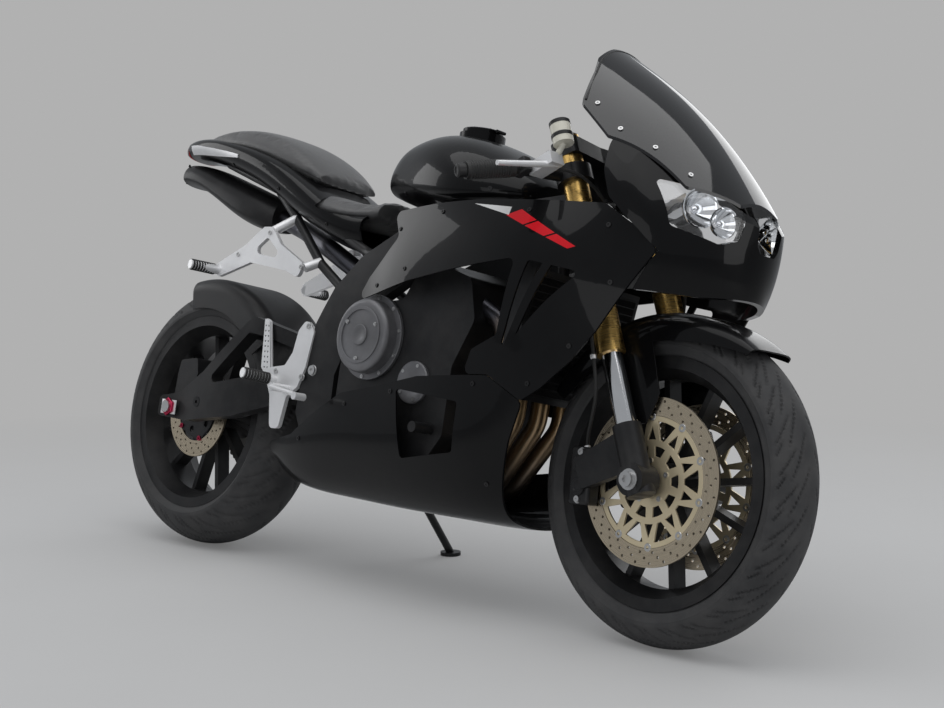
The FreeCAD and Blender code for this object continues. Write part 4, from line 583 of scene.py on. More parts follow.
def smooth(item, angle):
    """Smooth shading with sharp edges above an angle."""
    work = bmesh.new()
    work.from_mesh(item.data)
    limit = math.radians(angle)
    for face in work.faces:
        face.smooth = True
    for edge in work.edges:
        edge.smooth = len(edge.link_faces) == 2 and edge.calc_face_angle(0) < limit
    work.to_mesh(item.data)
    work.free()


def from_bmesh(work, recalc=True):
    """Mesh from a finished bmesh, its faces turned outwards unless they are already."""
    if recalc:
        bmesh.ops.recalc_face_normals(work, faces=work.faces)
    mesh = bpy.data.meshes.new("part")
    work.to_mesh(mesh)
    work.free()
    return mesh


def plain_mesh(item):
    """Mesh of an object with its modifiers applied; the object is removed."""
    graph = bpy.context.evaluated_depsgraph_get()
    mesh = bpy.data.meshes.new_from_object(item.evaluated_get(graph))
    bpy.data.objects.remove(item)
    return mesh


def joined(meshes):
    """One mesh from several."""
    work = bmesh.new()
    for mesh in meshes:
        work.from_mesh(mesh)
        bpy.data.meshes.remove(mesh)
    return from_bmesh(work, recalc=False)


def mirrored(mesh, side):
    """Mesh drawn on the left, turned over for the right."""
    if side < 0:
        mesh.transform(Matrix.Scale(-1, 4, (0, 1, 0)))
        mesh.flip_normals()
    return mesh


def stood(mesh, left):
    """Mesh drawn flat, stood lengthwise at a distance left of the middle."""
    mesh.transform(Matrix.Translation((0, left, 0)) @ UPRIGHT)
    return mesh


def towards(origin, direction):
    """Matrix at a point whose Z runs along a direction."""
    return Matrix.Translation(origin) @ Vector(direction).to_track_quat("Z", "Y").to_matrix().to_4x4()


def turns(count, shift=0.0):
    """Angles spaced evenly round a circle."""
    return [2 * math.pi * k / count + shift for k in range(count)]


def on_circle(radius, turn):
    """Two distances that place a point on a circle."""
    return radius * math.cos(turn), radius * math.sin(turn)


def about_axle(radius, across, turn):
    """Point at a radius and an angle from straight up, round Y."""
    return radius * math.sin(turn), across, radius * math.cos(turn)


def skin(work, rows, around=False, closed=False):
    """Faces between rows of vertices; around joins the last row to the first, closed each row's two ends."""
    following = rows[1:] + rows[:1] if around else rows[1:]
    for here, there in zip(rows, following):
        for step in range(len(here) if closed else len(here) - 1):
            after = (step + 1) % len(here)
            work.faces.new((here[step], here[after], there[after], there[step]))


def revolve(profile, steps, closed=True):
    """Ring turned about Y from a profile of (across, radius)."""
    work = bmesh.new()
    rings = [[work.verts.new(about_axle(radius, across, turn)) for across, radius in profile]
             for turn in turns(steps)]
    skin(work, rings, around=True, closed=closed)
    bmesh.ops.remove_doubles(work, verts=work.verts, dist=1e-6)
    return from_bmesh(work)


def turned(profile, origin, way, steps=32):
    """Turned part: its profile of (along, radius) runs along a direction from an origin."""
    mesh = revolve(profile, steps)
    mesh.transform(towards(Vector(origin), Vector(way)) @ UPRIGHT)
    return mesh


def knob(radius, tall, rim=0.0012, dish=0.0):
    """Profile of a round cap with a softened edge and a dished middle."""
    core, brim_share, dish_share = 0.0002, 0.6, 0.5
    return [(0.0, core), (0.0, radius), (tall - rim, radius), (tall, radius - rim),
            (tall, radius * brim_share), (tall - dish, radius * dish_share), (tall - dish, core)]


def pipe_ring(outer, inner, low, high, rim=0.0008):
    """Profile of a ring with softened outer edges."""
    return [(low, inner), (low, outer - rim), (low + rim, outer), (high - rim, outer), (high, outer - rim),
            (high, inner)]


def tube(points, radius, resolution=3):
    """Round tube along points."""
    curve = bpy.data.curves.new("tube", "CURVE")
    curve.dimensions = "3D"
    curve.bevel_depth = radius
    curve.bevel_resolution = resolution
    curve.use_fill_caps = True
    curve.resolution_u = 8
    spline = curve.splines.new("NURBS")
    spline.points.add(len(points) - 1)
    for target, point in zip(spline.points, points):
        target.co = (*point, 1)
    spline.order_u = 3
    spline.use_endpoint_u = True
    return plain_mesh(link("tube", curve))


def round_window(x, y, radius, steps=12):
    """Outline of a round hole in a plate."""
    return [(x + radius * math.cos(turn), y + radius * math.sin(turn)) for turn in turns(steps)]


def plate(outline, thick, windows=(), bevel=0.0):
    """Plate in the XY plane from an outline, with windows, centred on Z."""
    curve = bpy.data.curves.new("plate", "CURVE")
    curve.dimensions = "2D"
    curve.fill_mode = "BOTH"
    curve.extrude = thick / 2 - bevel
    curve.bevel_depth = bevel
    for loop in (outline, *windows):
        spline = curve.splines.new("POLY")
        spline.points.add(len(loop) - 1)
        for target, (x, y) in zip(spline.points, loop):
            target.co = (x, y, 0, 1)
        spline.use_cyclic_u = True
    return plain_mesh(link("plate", curve))


def box(low, high, bevel, segments=2):
    """Box between two corners, with rounded edges."""
    work = bmesh.new()
    bmesh.ops.create_cube(work, size=1)
    low, high = Vector(low), Vector(high)
    for vert in work.verts:
        vert.co = Vector((low[i] + (vert.co[i] + 0.5) * (high[i] - low[i]) for i in range(3)))
    bmesh.ops.bevel(work, geom=work.edges, offset=bevel, segments=segments, affect="EDGES", profile=0.6)
    return from_bmesh(work)


@functools.cache
def surface(node):
    """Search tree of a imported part's faces, in the frame of the machine."""
    mesh, turn = frame["nodes"][node].data, BIKE.inverted()
    return BVHTree.FromPolygons([turn @ vert.co for vert in mesh.vertices],
                                [tuple(face.vertices) for face in mesh.polygons])


def spot_on(node, origin, way):
    """Point and outward facing where a ray, in the frame of the machine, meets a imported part."""
    place, facing, _, _ = surface(node).ray_cast(Vector(origin), Vector(way))
    if place is None:
        raise RuntimeError("no surface of " + node + " at " + str(tuple(origin)))
    return place, -facing if facing.dot(Vector(way)) > 0 else facing


def from_side(node, x, z, side):
    """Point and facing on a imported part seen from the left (1) or the right (-1)."""
    beside = 0.6
    return spot_on(node, (x, beside * side, z), (0, -side, 0))


def from_above(node, x, y):
    """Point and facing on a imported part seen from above."""
    overhead = 1.6
    return spot_on(node, (x, y, overhead), (0, 0, -1))


def seated(spot, lift, radius):
    """Bolt of a radius, lifted a little off a spot on a part."""
    place, facing = spot
    return place + facing * lift, facing, radius


# Geometry node trees

def geometry_group(name, inputs):
    """Geometry tree with a Geometry input and named size inputs."""
    return new_group(name, "GeometryNodeTree", {"Geometry": None, **inputs}, {"Geometry": None})


def end_tree(tree, geometry, out, material):
    """Realizes the instances and sets the material at the end of a tree."""
    real = add(tree, "GeometryNodeRealizeInstances", {0: geometry})
    painted = add(tree, "GeometryNodeSetMaterial", {"Geometry": real.outputs[0], "Material": mat(material)})
    plug(tree, out[0], painted.outputs[0])
    return tree


def together(tree, *parts):
    """Geometry joined inside a tree."""
    whole = add(tree, "GeometryNodeJoinGeometry")
    for part in parts:
        tree.links.new(part, whole.inputs[0])
    return whole.outputs[0]


def cut_out(tree, solid, *tools):
    """Solid with tools taken out of it, inside a tree."""
    cut = add(tree, "GeometryNodeMeshBoolean", {0: solid}, operation="DIFFERENCE", solver="EXACT")
    for tool in tools:
        tree.links.new(tool, cut.inputs[1])
    return cut.outputs[0]


def cylinder(tree, sides, radius, depth, place=None, turn=(0, 0, 0)):
    """Round bar inside a tree, along Z unless it is turned."""
    bar = add(tree, "GeometryNodeMeshCylinder", {"Vertices": sides, "Radius": radius, "Depth": depth})
    if place is None:
        return bar.outputs[0]
    return add(tree, "GeometryNodeTransform", {
        "Geometry": bar.outputs[0], "Translation": place, "Rotation": turn}).outputs[0]


def copies(tree, points, shape, **inputs):
    """Copies of a shape on points, inside a tree."""
    return add(tree, "GeometryNodeInstanceOnPoints", {
        "Points": points, "Instance": shape, **inputs}).outputs[0]


def point_mesh(points, edges=()):
    """Mesh of loose points or of a line, for a tree to work on."""
    mesh = bpy.data.meshes.new("points")
    mesh.from_pydata(points, edges, [])
    return mesh


def run_tree(mesh, tree, values):
    """Runs a tree on a mesh and returns the plain result."""
    item = link("run", mesh)
    modifier = item.modifiers.new("nodes", "NODES")
    modifier.node_group = tree
    for entry in tree.interface.items_tree:
        if entry.item_type == "SOCKET" and entry.in_out == "INPUT" and entry.name in values:
            modifier[entry.identifier] = values[entry.name]
    return plain_mesh(item)


@functools.cache
def bolt_tree(material):
    """A socket-head bolt on every point, its height along the point's normal and its radius one."""
    tree, given, out = geometry_group("Bolt Heads", {"Height Share": 0.8})
    recess_wide, recess_deep, recess_up = 0.5, 0.8, 0.5
    washer_wide, washer_tall, washer_up = 1.35, 0.16, -0.34
    head = cylinder(tree, 16, 1.0, given["Height Share"])
    recess = cylinder(tree, 6, recess_wide, recess_deep, (0, 0, recess_up))
    washer = cylinder(tree, 20, washer_wide, washer_tall, (0, 0, washer_up))
    whole = together(tree, cut_out(tree, head, recess), washer)
    normal = add(tree, "GeometryNodeInputNamedAttribute", {"Name": "facing"}, data_type="FLOAT_VECTOR")
    size = add(tree, "GeometryNodeInputNamedAttribute", {"Name": "size"}, data_type="FLOAT")
    turn = add(tree, "FunctionNodeAlignRotationToVector", {"Vector": normal.outputs[0]}, axis="Z")
    heads = copies(tree, given["Geometry"], whole, Rotation=turn.outputs[0], Scale=size.outputs[0])
    return end_tree(tree, heads, out, material)


def bolts(name, body, spots, slot="silver_aluminium", material="bolt_steel"):
    """Bolt heads at (position, facing, radius), as one piece of a body."""
    matrix = FRAMES[body]
    mesh = point_mesh([matrix @ Vector(place) for place, _, _ in spots])
    mesh.attributes.new("facing", "FLOAT_VECTOR", "POINT")
    mesh.attributes.new("size", "FLOAT", "POINT")
    for index, (_, way, radius) in enumerate(spots):
        mesh.attributes["facing"].data[index].vector = (matrix.to_3x3() @ Vector(way)).normalized()
        mesh.attributes["size"].data[index].value = radius
    heads = run_tree(mesh, bolt_tree(material), {"Height Share": chosen("trim").bolt_tall})
    return piece(name, heads, body, slot, material, placed=True)


@functools.cache
def drilled_tree(material):
    """Ring with slanting rows of drilled holes, thickness along Z."""
    tree, given, out = geometry_group("Drilled Ring", {
        "Outer Radius": 0.155, "Inner Radius": 0.12, "Thickness": 0.005, "Hole Radius": 0.0026,
        "Holes": 30, "Rows": 3, "Steps": 180, "Row Shift": 0.4})
    outer, inner, thick, holes, rows, row_shift = (Number(tree, given[label]) for label in (
        "Outer Radius", "Inner Radius", "Thickness", "Holes", "Rows", "Row Shift"))
    edge_share = 0.75
    deep = thick * 2.0
    index = numbers(add(tree, "GeometryNodeInputIndex"))[0]
    row = index.work("FLOORED_MODULO", rows)
    turn = ((index / rows).work("FLOOR") + row * row_shift) / holes * (2 * math.pi)
    radius = inner + (outer - inner) * ((row + edge_share) / (rows + (2 * edge_share - 1)))
    spot = add(tree, "ShaderNodeCombineXYZ", {0: radius * turn.work("COSINE"), 1: radius * turn.work("SINE")})
    line = add(tree, "GeometryNodePoints", {"Count": holes * rows, "Position": spot.outputs[0]})
    drills = copies(tree, line.outputs[0], cylinder(tree, 12, given["Hole Radius"], deep))
    tools = add(tree, "GeometryNodeRealizeInstances", {0: drills}).outputs[0]
    ring = cylinder(tree, given["Steps"], outer, thick)
    bore = cylinder(tree, given["Steps"], inner, deep)
    return end_tree(tree, cut_out(tree, ring, bore, tools), out, material)


def drilled_ring(material, left, **sizes):
    """Mesh of a drilled ring about Y, at a distance left of the middle."""
    values = {label.replace("_", " "): value for label, value in sizes.items()}
    values["Hole Radius"] = chosen("trim").hole_radius
    return stood(run_tree(point_mesh([ORIGIN]), drilled_tree(material), values), left)


@functools.cache
def row_tree(material):
    """Copies of a slim plate stood in a row."""
    tree, given, out = geometry_group("Row Of Plates", {
        "Count": 40, "Run": (0.3, 0.0, 0.0), "Plate": (0.001, 0.02, 0.2)})
    line = add(tree, "GeometryNodeMeshLine", {"Count": given["Count"], "Offset": given["Run"]},
               mode="END_POINTS")
    slim = add(tree, "GeometryNodeMeshCube", {"Size": given["Plate"]})
    return end_tree(tree, copies(tree, line.outputs[0], slim.outputs[0]), out, material)


def plate_row(material, count, run, size, matrix):
    """Row of slim plates along a run, centred on a place."""
    values = {"Count": count, "Run": run, "Plate": size}
    mesh = run_tree(point_mesh([ORIGIN]), row_tree(material), values)
    mesh.transform(matrix @ Matrix.Translation(-Vector(run) / 2))
    return mesh


def link_shape(tree, pitch, gap, pin, pin_long):
    """One chain link: two waisted plates and the two bars between them."""
    tall, thick, waist_share = 0.0145, 0.0022, 0.62
    crosswise = (math.radians(90), 0, 0)
    parts = []
    for side in SIDES:
        for end in SIDES:
            parts.append(cylinder(tree, 10, tall / 2, thick, (end * pitch / 2, side * gap, 0), crosswise))
        web = add(tree, "GeometryNodeMeshCube", {"Size": (pitch, thick * 0.98, tall * waist_share)})
        parts.append(add(tree, "GeometryNodeTransform", {
            "Geometry": web.outputs[0], "Translation": (0, side * gap, 0)}).outputs[0])
    for end in SIDES:
        parts.append(cylinder(tree, 8, pin, pin_long, (end * pitch / 2, 0, 0), crosswise))
    return together(tree, *parts)


def chain_tree(material):
    """Alternate outer and inner links, evenly spaced along a closed line."""
    tree, given, out = geometry_group("Chain Links", {"Links": 106})
    line = add(tree, "GeometryNodeMeshToCurve", {"Mesh": given["Geometry"]}).outputs[0]
    spots = add(tree, "GeometryNodeCurveToPoints", {"Curve": line, "Count": given["Links"]}, mode="COUNT")
    turn = add(tree, "FunctionNodeAlignRotationToVector", {"Vector": spots.outputs["Tangent"]},
               axis="X", pivot_axis="Y")
    odd = numbers(add(tree, "GeometryNodeInputIndex"))[0].work("FLOORED_MODULO", 2.0)
    pitch = chosen("trim").chain_pitch
    outer = link_shape(tree, pitch, gap=0.0083, pin=0.0027, pin_long=0.0205)
    inner = link_shape(tree, pitch, gap=0.0058, pin=0.0049, pin_long=0.0108)
    links = [copies(tree, spots.outputs[0], shape, Selection=picked, Rotation=turn.outputs[0])
             for shape, picked in ((outer, odd), (inner, odd < 0.5))]
    return end_tree(tree, together(tree, *links), out, material)


# Places that more than one operator uses, in metres: on the engine ahead and up, on the fork from its axle

CLUTCH = (0.666, 0.516)
PULSE_COVER = (0.806, 0.430)
ALTERNATOR = (0.800, 0.455)
CALIPER = Vector((-0.1333, 0, 0.0527))
CALIPER_WAY = Vector((0.3746, 0, 0.927))


def on_caliper(along, left):
    """Place on a front caliper, at a distance along it from its middle."""
    return CALIPER + CALIPER_WAY * along + Vector((0, left, 0))


def sideways(left):
    """Direction away from the middle on the side of a distance left of it."""
    return 0, math.copysign(1, left), 0


def bolt_ring(centre, left, radius, count, size, shift=0.0):
    """Bolts in a ring that faces sideways, round a centre ahead and up."""
    x, z = centre
    return [((x + radius * math.cos(turn), left, z + radius * math.sin(turn)), sideways(left), size)
            for turn in turns(count, shift)]


# Operators, one for each piece or group of like pieces

class StudioOperator(bpy.types.Operator):
    """Floor, backdrop, lights and camera"""
    bl_idname = "moto.studio"
    bl_label = "Studio"

    def execute(self, context):
        scene = context.scene
        scene.view_settings.view_transform = "Standard"
        grey = tuple(chosen("studio").backdrop)
        self.make_world(scene, grey)
        self.make_floor(grey)
        self.make_lamps(scene)
        self.make_camera(scene)
        return {"FINISHED"}

    def make_world(self, scene, grey):
        """Backdrop as the camera sees it, and a cooler, dimmer light for the machine."""
        sky, sky_strength = (0.75, 0.78, 0.82), 0.45
        world = bpy.data.worlds.new("Studio")
        world.use_nodes = True
        scene.world = world
        tree = world.node_tree
        tree.nodes.clear()
        seen = add(tree, "ShaderNodeBackground", {"Color": grey, "Strength": 1.0})
        lit = add(tree, "ShaderNodeBackground", {"Color": sky, "Strength": sky_strength})
        path = add(tree, "ShaderNodeLightPath").outputs
        direct = Number(tree, path["Is Camera Ray"]).work("MAXIMUM", path["Is Transmission Ray"])
        both = add(tree, "ShaderNodeMixShader", {0: direct, 1: lit.outputs[0], 2: seen.outputs[0]})
        add(tree, "ShaderNodeOutputWorld", {"Surface": both.outputs[0]})

    def make_floor(self, grey):
        """Large round floor that fades into the backdrop."""
        floor_radius, fade_from, fade_to, least_fade, darker, lighter = 14, 1.3, 3.4, 0.25, 1.27, 1.33
        work = bmesh.new()
        bmesh.ops.create_circle(work, cap_ends=True, segments=96, radius=floor_radius)
        floor = link("studio_floor", from_bmesh(work, recalc=False))
        material = bpy.data.materials.new("Studio Floor")
        material.use_nodes = True
        tree = material.node_tree
        tree.nodes.clear()
        vector = add(tree, "ShaderNodeTexCoord").outputs["Object"]
        far = add(tree, "ShaderNodeVectorMath", {0: vector}, operation="LENGTH").outputs["Value"]
        camera_ray = add(tree, "ShaderNodeLightPath").outputs["Is Camera Ray"]
        fade = spread(tree, far, fade_from, fade_to, least_fade, 1.0) * camera_ray
        shade = mix(tree, noise(tree, vector, 3.0, 5.0), scaled(grey, darker), scaled(grey, lighter))
        matt = add(tree, "ShaderNodeBsdfPrincipled", {
            "Base Color": shade, "Roughness": 0.7, "Specular IOR Level": 0.2})
        glow = add(tree, "ShaderNodeEmission", {"Color": grey, "Strength": 1.0})
        both = add(tree, "ShaderNodeMixShader", {0: fade, 1: matt.outputs[0], 2: glow.outputs[0]})
        add(tree, "ShaderNodeOutputMaterial", {"Surface": both.outputs[0]})
        floor.data.materials.append(material)

    def make_lamps(self, scene):
        lamps = (  # name, place, aim, width, height, watts
            ("key_roof", (0.3, -0.5, 3.3), (0.0, 0.0, 0.4), 4.6, 3.4, 70.0),
            ("side_right", (1.2, -3.6, 1.1), (0.1, 0.0, 0.5), 3.0, 1.4, 13.0),
            ("front_strip", (3.6, -0.2, 1.3), (0.6, 0.0, 0.5), 1.2, 1.8, 12.0),
            ("side_left", (0.2, 3.4, 1.8), (0.0, 0.0, 0.5), 3.0, 1.6, 20.0),
            ("rear_fill", (-3.4, -0.9, 1.7), (-0.4, 0.0, 0.6), 1.4, 1.8, 14.0),
        )
        for name, place, aim, width, height, watts in lamps:
            light = bpy.data.lights.new(name, "AREA")
            light.shape = "RECTANGLE"
            light.size, light.size_y, light.energy = width, height, watts
            lamp = bpy.data.objects.new(name, light)
            way = Vector(aim) - Vector(place)
            lamp.matrix_world = Matrix.Translation(place) @ way.to_track_quat("-Z", "Y").to_matrix().to_4x4()
            scene.collection.objects.link(lamp)

    def make_camera(self, scene):
        values = chosen("studio")
        data = bpy.data.cameras.new("photo_camera")
        data.sensor_fit, data.sensor_width, data.lens = "HORIZONTAL", 36.0, values.lens
        camera = bpy.data.objects.new("photo_camera", data)
        scene.collection.objects.link(camera)
        turn = Matrix.Rotation(math.radians(values.azimuth), 4, "Z")
        turn @= Matrix.Rotation(math.radians(90 - values.elevation), 4, "X")
        turn @= Matrix.Rotation(math.radians(values.roll), 4, "Z")
        back = turn.to_3x3() @ Vector(UP)
        camera.matrix_world = Matrix.Translation(Vector(values.aim) + back * values.distance) @ turn
        scene.camera = camera


class CadFinishOperator(bpy.types.Operator):
    """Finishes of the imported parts"""
    bl_idname = "moto.cad_finish"
    bl_label = "Packed parts"

    def execute(self, context):
        slots = {part["node"]: part["material_slot"] for part in frame["record"]["subparts"]}
        special = {
            "side_fairing_left": "striped_black", "side_fairing_right": "striped_black",
            "front_discs": "front_disc_steel", "front_disc_carriers": "gold_anodised",
            "fork_sliders": "slider_chrome", "belly_pan": "gloss_black", "rear_mudguard": "satin_black",
            "front_axle": "bolt_steel", "pivot_bolt": "bolt_steel", "rear_axle": "bolt_steel",
            "front_sprocket": "chain_steel", "rear_sprocket": "chain_steel",
        }
        for name, node in frame["nodes"].items():
            material = mat(special.get(name, slots[name]))
            for slot in node.material_slots:
                slot.material = material
            if not node.material_slots:
                raise RuntimeError("no material slot on " + name)
        return {"FINISHED"}


def groove_depth(turn, share, count, wide, radius):
    """How deep the tread is cut at an angle and a share across, from 0 to 1."""
    patterns = (  # from and to a share across, slant, shift
        (0.10, 0.62, 0.95, 0.0), (0.42, 0.93, 0.55, 0.5), (0.70, 0.97, 0.35, 0.22))
    sweep, end_share, wall_share = 1.6, 0.05, 0.18
    other_side = 0.0 if share >= 0 else 0.5
    across = abs(share)
    step = 2 * math.pi / count
    deepest = 0.0
    for low, high, slant, shift in patterns:
        if not low < across < high:
            continue
        line = turn / step - shift - other_side - slant * (across - low) / (high - low) * sweep
        off = abs(line - round(line)) * step * radius
        ends = min(1.0, min(across - low, high - across) / end_share)
        walls = min(1.0, max(0.0, (wide / 2 - off) / (wide * wall_share)))
        deepest = max(deepest, walls * ends)
    return deepest


class TyreOperator(bpy.types.Operator):
    """Tyres with a road pattern"""
    bl_idname = "moto.tyres"
    bl_label = "Tyres"

    def execute(self, context):
        front = {"radius": FRONT_RADIUS, "crown": 0.060, "rim_half": 0.0445, "grooves": 30}
        rear = {"radius": REAR_RADIUS, "crown": 0.092, "rim_half": 0.07, "grooves": 26}
        self.make("front_road_tyre", "front_tyre", "front_wheel", **front)
        self.make("rear_road_tyre", "rear_tyre", "rear_wheel", **rear)
        return {"FINISHED"}

    def make(self, name, node, body, radius, crown, rim_half, grooves):
        """Tyre turned from its outline, with the road pattern cut into the tread."""
        sizes = chosen("tyre")
        bead, flange, seat, reach, grooved_share = 0.2161, 0.013, 0.001, 1.25, 0.99
        wall_steps, wall_curve, ridge_steps, ridge_tall = 10, 1.6, (2, 7), 0.0012
        tread = []
        for row in range(sizes.across + 1):
            share = row / sizes.across * 2 - 1
            angle = share * reach
            tread.append((crown * math.sin(angle), radius - crown + crown * math.cos(angle), share))
        edge_y, edge_r, _ = tread[-1]
        wall = []
        for step in range(1, wall_steps + 1):
            share = step / wall_steps
            y = edge_y + (rim_half - edge_y) * share ** wall_curve
            ridge = ridge_tall if step in ridge_steps else 0.0
            wall.append((y + ridge, edge_r + (bead + flange - edge_r) * share, None))
        wall.append((rim_half, bead + seat, None))
        outline = [(-y, r, None) for y, r, _ in reversed(wall)] + tread + wall
        work = bmesh.new()
        rings = []
        for turn in turns(sizes.around):
            ring = []
            for y, r, share in outline:
                if share is not None and abs(share) < grooved_share:
                    cut = groove_depth(turn, share, grooves, sizes.groove_wide, radius) * sizes.groove_deep
                    y, r = y - cut * math.sin(share * reach), r - cut * math.cos(share * reach)
                ring.append(work.verts.new(about_axle(r, y, turn)))
            rings.append(ring)
        skin(work, rings, around=True, closed=True)
        item = piece(name, from_bmesh(work), body, "tyre_rubber", angle=40)
        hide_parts(node)


class DiscOperator(bpy.types.Operator):
    """Drilled brake discs, their carriers and bobbins"""
    bl_idname = "moto.discs"
    bl_label = "Brake discs"

    def execute(self, context):
        front_left, rear_left = 0.070, -0.0705
        sizes = {"Outer_Radius": 0.155, "Inner_Radius": 0.1205, "Thickness": 0.0045, "Holes": 28, "Rows": 3,
                 "Steps": 200, "Row_Shift": 0.38}
        rings = [drilled_ring("front_disc_steel", side * front_left, **sizes) for side in SIDES]
        front = piece("front_drilled_discs", rings, "front_wheel", "bright_steel", "front_disc_steel", 30)
        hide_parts("front_discs")
        ring = drilled_ring("bright_steel", rear_left, Outer_Radius=0.110, Inner_Radius=0.072,
                            Thickness=0.005, Holes=22, Rows=3, Steps=160, Row_Shift=0.38)
        rear = piece("rear_drilled_disc", ring, "rear_wheel", "bright_steel", "rear_disc_cream", 30)
        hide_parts("rear_disc")
        self.front_webs()
        self.rear_carrier()
        return {"FINISHED"}

    def front_webs(self):
        """Open carriers of the front discs: a hub and a rim, joined by arms in pairs at the bobbins."""
        arms, rim, bore, thick, bevel, out = 10, 0.1195, 0.0185, 0.0042, 0.0004, 0.0697
        fork_tip, fork_root, top, hub_top, hub_low = 0.1035, 0.0765, 0.1105, 0.0655, 0.0465
        bobbin_ring, bobbin_out = 0.1185, 0.0664
        fork_half, top_gap, top_low_gap, hub_gap, hub_low_gap = 0.135, 0.115, 0.250, 0.11, 0.16
        step = 2 * math.pi / arms

        def arc(radius, start, stop, count):
            return [on_circle(radius, start + (stop - start) * k / count) for k in range(count + 1)]

        windows, plates, bobbins = [round_window(0, 0, bore, 32)], [], []
        for middle in turns(arms):
            after = middle + step
            windows.append([on_circle(fork_tip, middle)]
                           + arc(fork_root, middle - fork_half, middle + fork_half, 4))
            windows.append(arc(top, middle + top_gap, after - top_gap, 6)
                           + arc(fork_root, after - top_low_gap, middle + top_low_gap, 2))
            windows.append(arc(hub_top, middle + hub_gap, after - hub_gap, 4)
                           + arc(hub_low, after - hub_low_gap, middle + hub_low_gap, 2))
        for side in SIDES:
            plates.append(stood(plate(round_window(0, 0, rim, 120), thick, windows, bevel), side * out))
            for turn in turns(arms):
                x, z = on_circle(bobbin_ring, turn)
                bobbins.append(turned(pipe_ring(outer=0.0078, inner=0.0034, low=0.0, high=0.0066),
                                      (x, side * bobbin_out, z), sideways(side), 20))
        webs = piece("front_disc_webs", plates, "front_wheel", "gold_anodised", "web_cream")
        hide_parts("front_disc_carriers")
        piece("front_disc_bobbins", bobbins, "front_wheel", "bright_steel", "bolt_steel")

    def rear_carrier(self):
        """Lobed hub plate that carries the rear disc, with its coloured nuts."""
        lobes, neck, lobe_tall, thick, bevel, out = 5, 0.064, 0.010, 0.0035, 0.0005, -0.0715
        bore, hole, hole_ring = 0.0165, 0.0085, 0.047
        nut, nut_ring, nut_out = 0.0062, 0.068, -0.0738
        outline = [on_circle(neck + lobe_tall * max(0.0, math.cos(lobes * turn)) ** 2, turn)
                   for turn in turns(100)]
        windows = [round_window(0, 0, bore, 24)]
        for turn in turns(lobes, math.pi / lobes):
            windows.append(round_window(*on_circle(hole_ring, turn), hole, 24))
        hub = stood(plate(outline, thick, windows, bevel), out)
        piece("rear_disc_hub", hub, "rear_wheel", "bright_steel", "black_metal")
        nuts = bolt_ring((0, 0), nut_out, nut_ring, lobes, nut)
        bolts("rear_disc_nuts", "rear_wheel", nuts, "bright_steel", "red_anodised")


class ChainOperator(bpy.types.Operator):
    """Drive chain of separate links"""
    bl_idname = "moto.chain"
    bl_label = "Chain"

    def execute(self, context):
        chain_left, r_big, r_small, small_x, small_z, steps = 0.106, 0.109, 0.041, 0.596, 0.425, 48
        big, small = Vector((0, chain_left, REAR_RADIUS)), Vector((small_x, chain_left, small_z))
        way = (small - big).normalized()
        lean = math.acos((r_big - r_small) / (small - big).length)
        points = []
        for centre, radius, start, stop in (
                (small, r_small, lean, -lean), (big, r_big, -lean, lean - 2 * math.pi)):
            for step in range(steps + 1):
                turn = start + (stop - start) * step / steps
                points.append(centre + (Matrix.Rotation(-turn, 3, "Y") @ way) * radius)
        loop = [(index, (index + 1) % len(points)) for index in range(len(points))]
        values = {"Links": chosen("trim").chain_links}
        chain = run_tree(point_mesh(points, loop), chain_tree("chain_steel"), values)
        item = piece("chain_links", chain, "chassis", "chain_steel", angle=40)
        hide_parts("drive_chain")
        return {"FINISHED"}


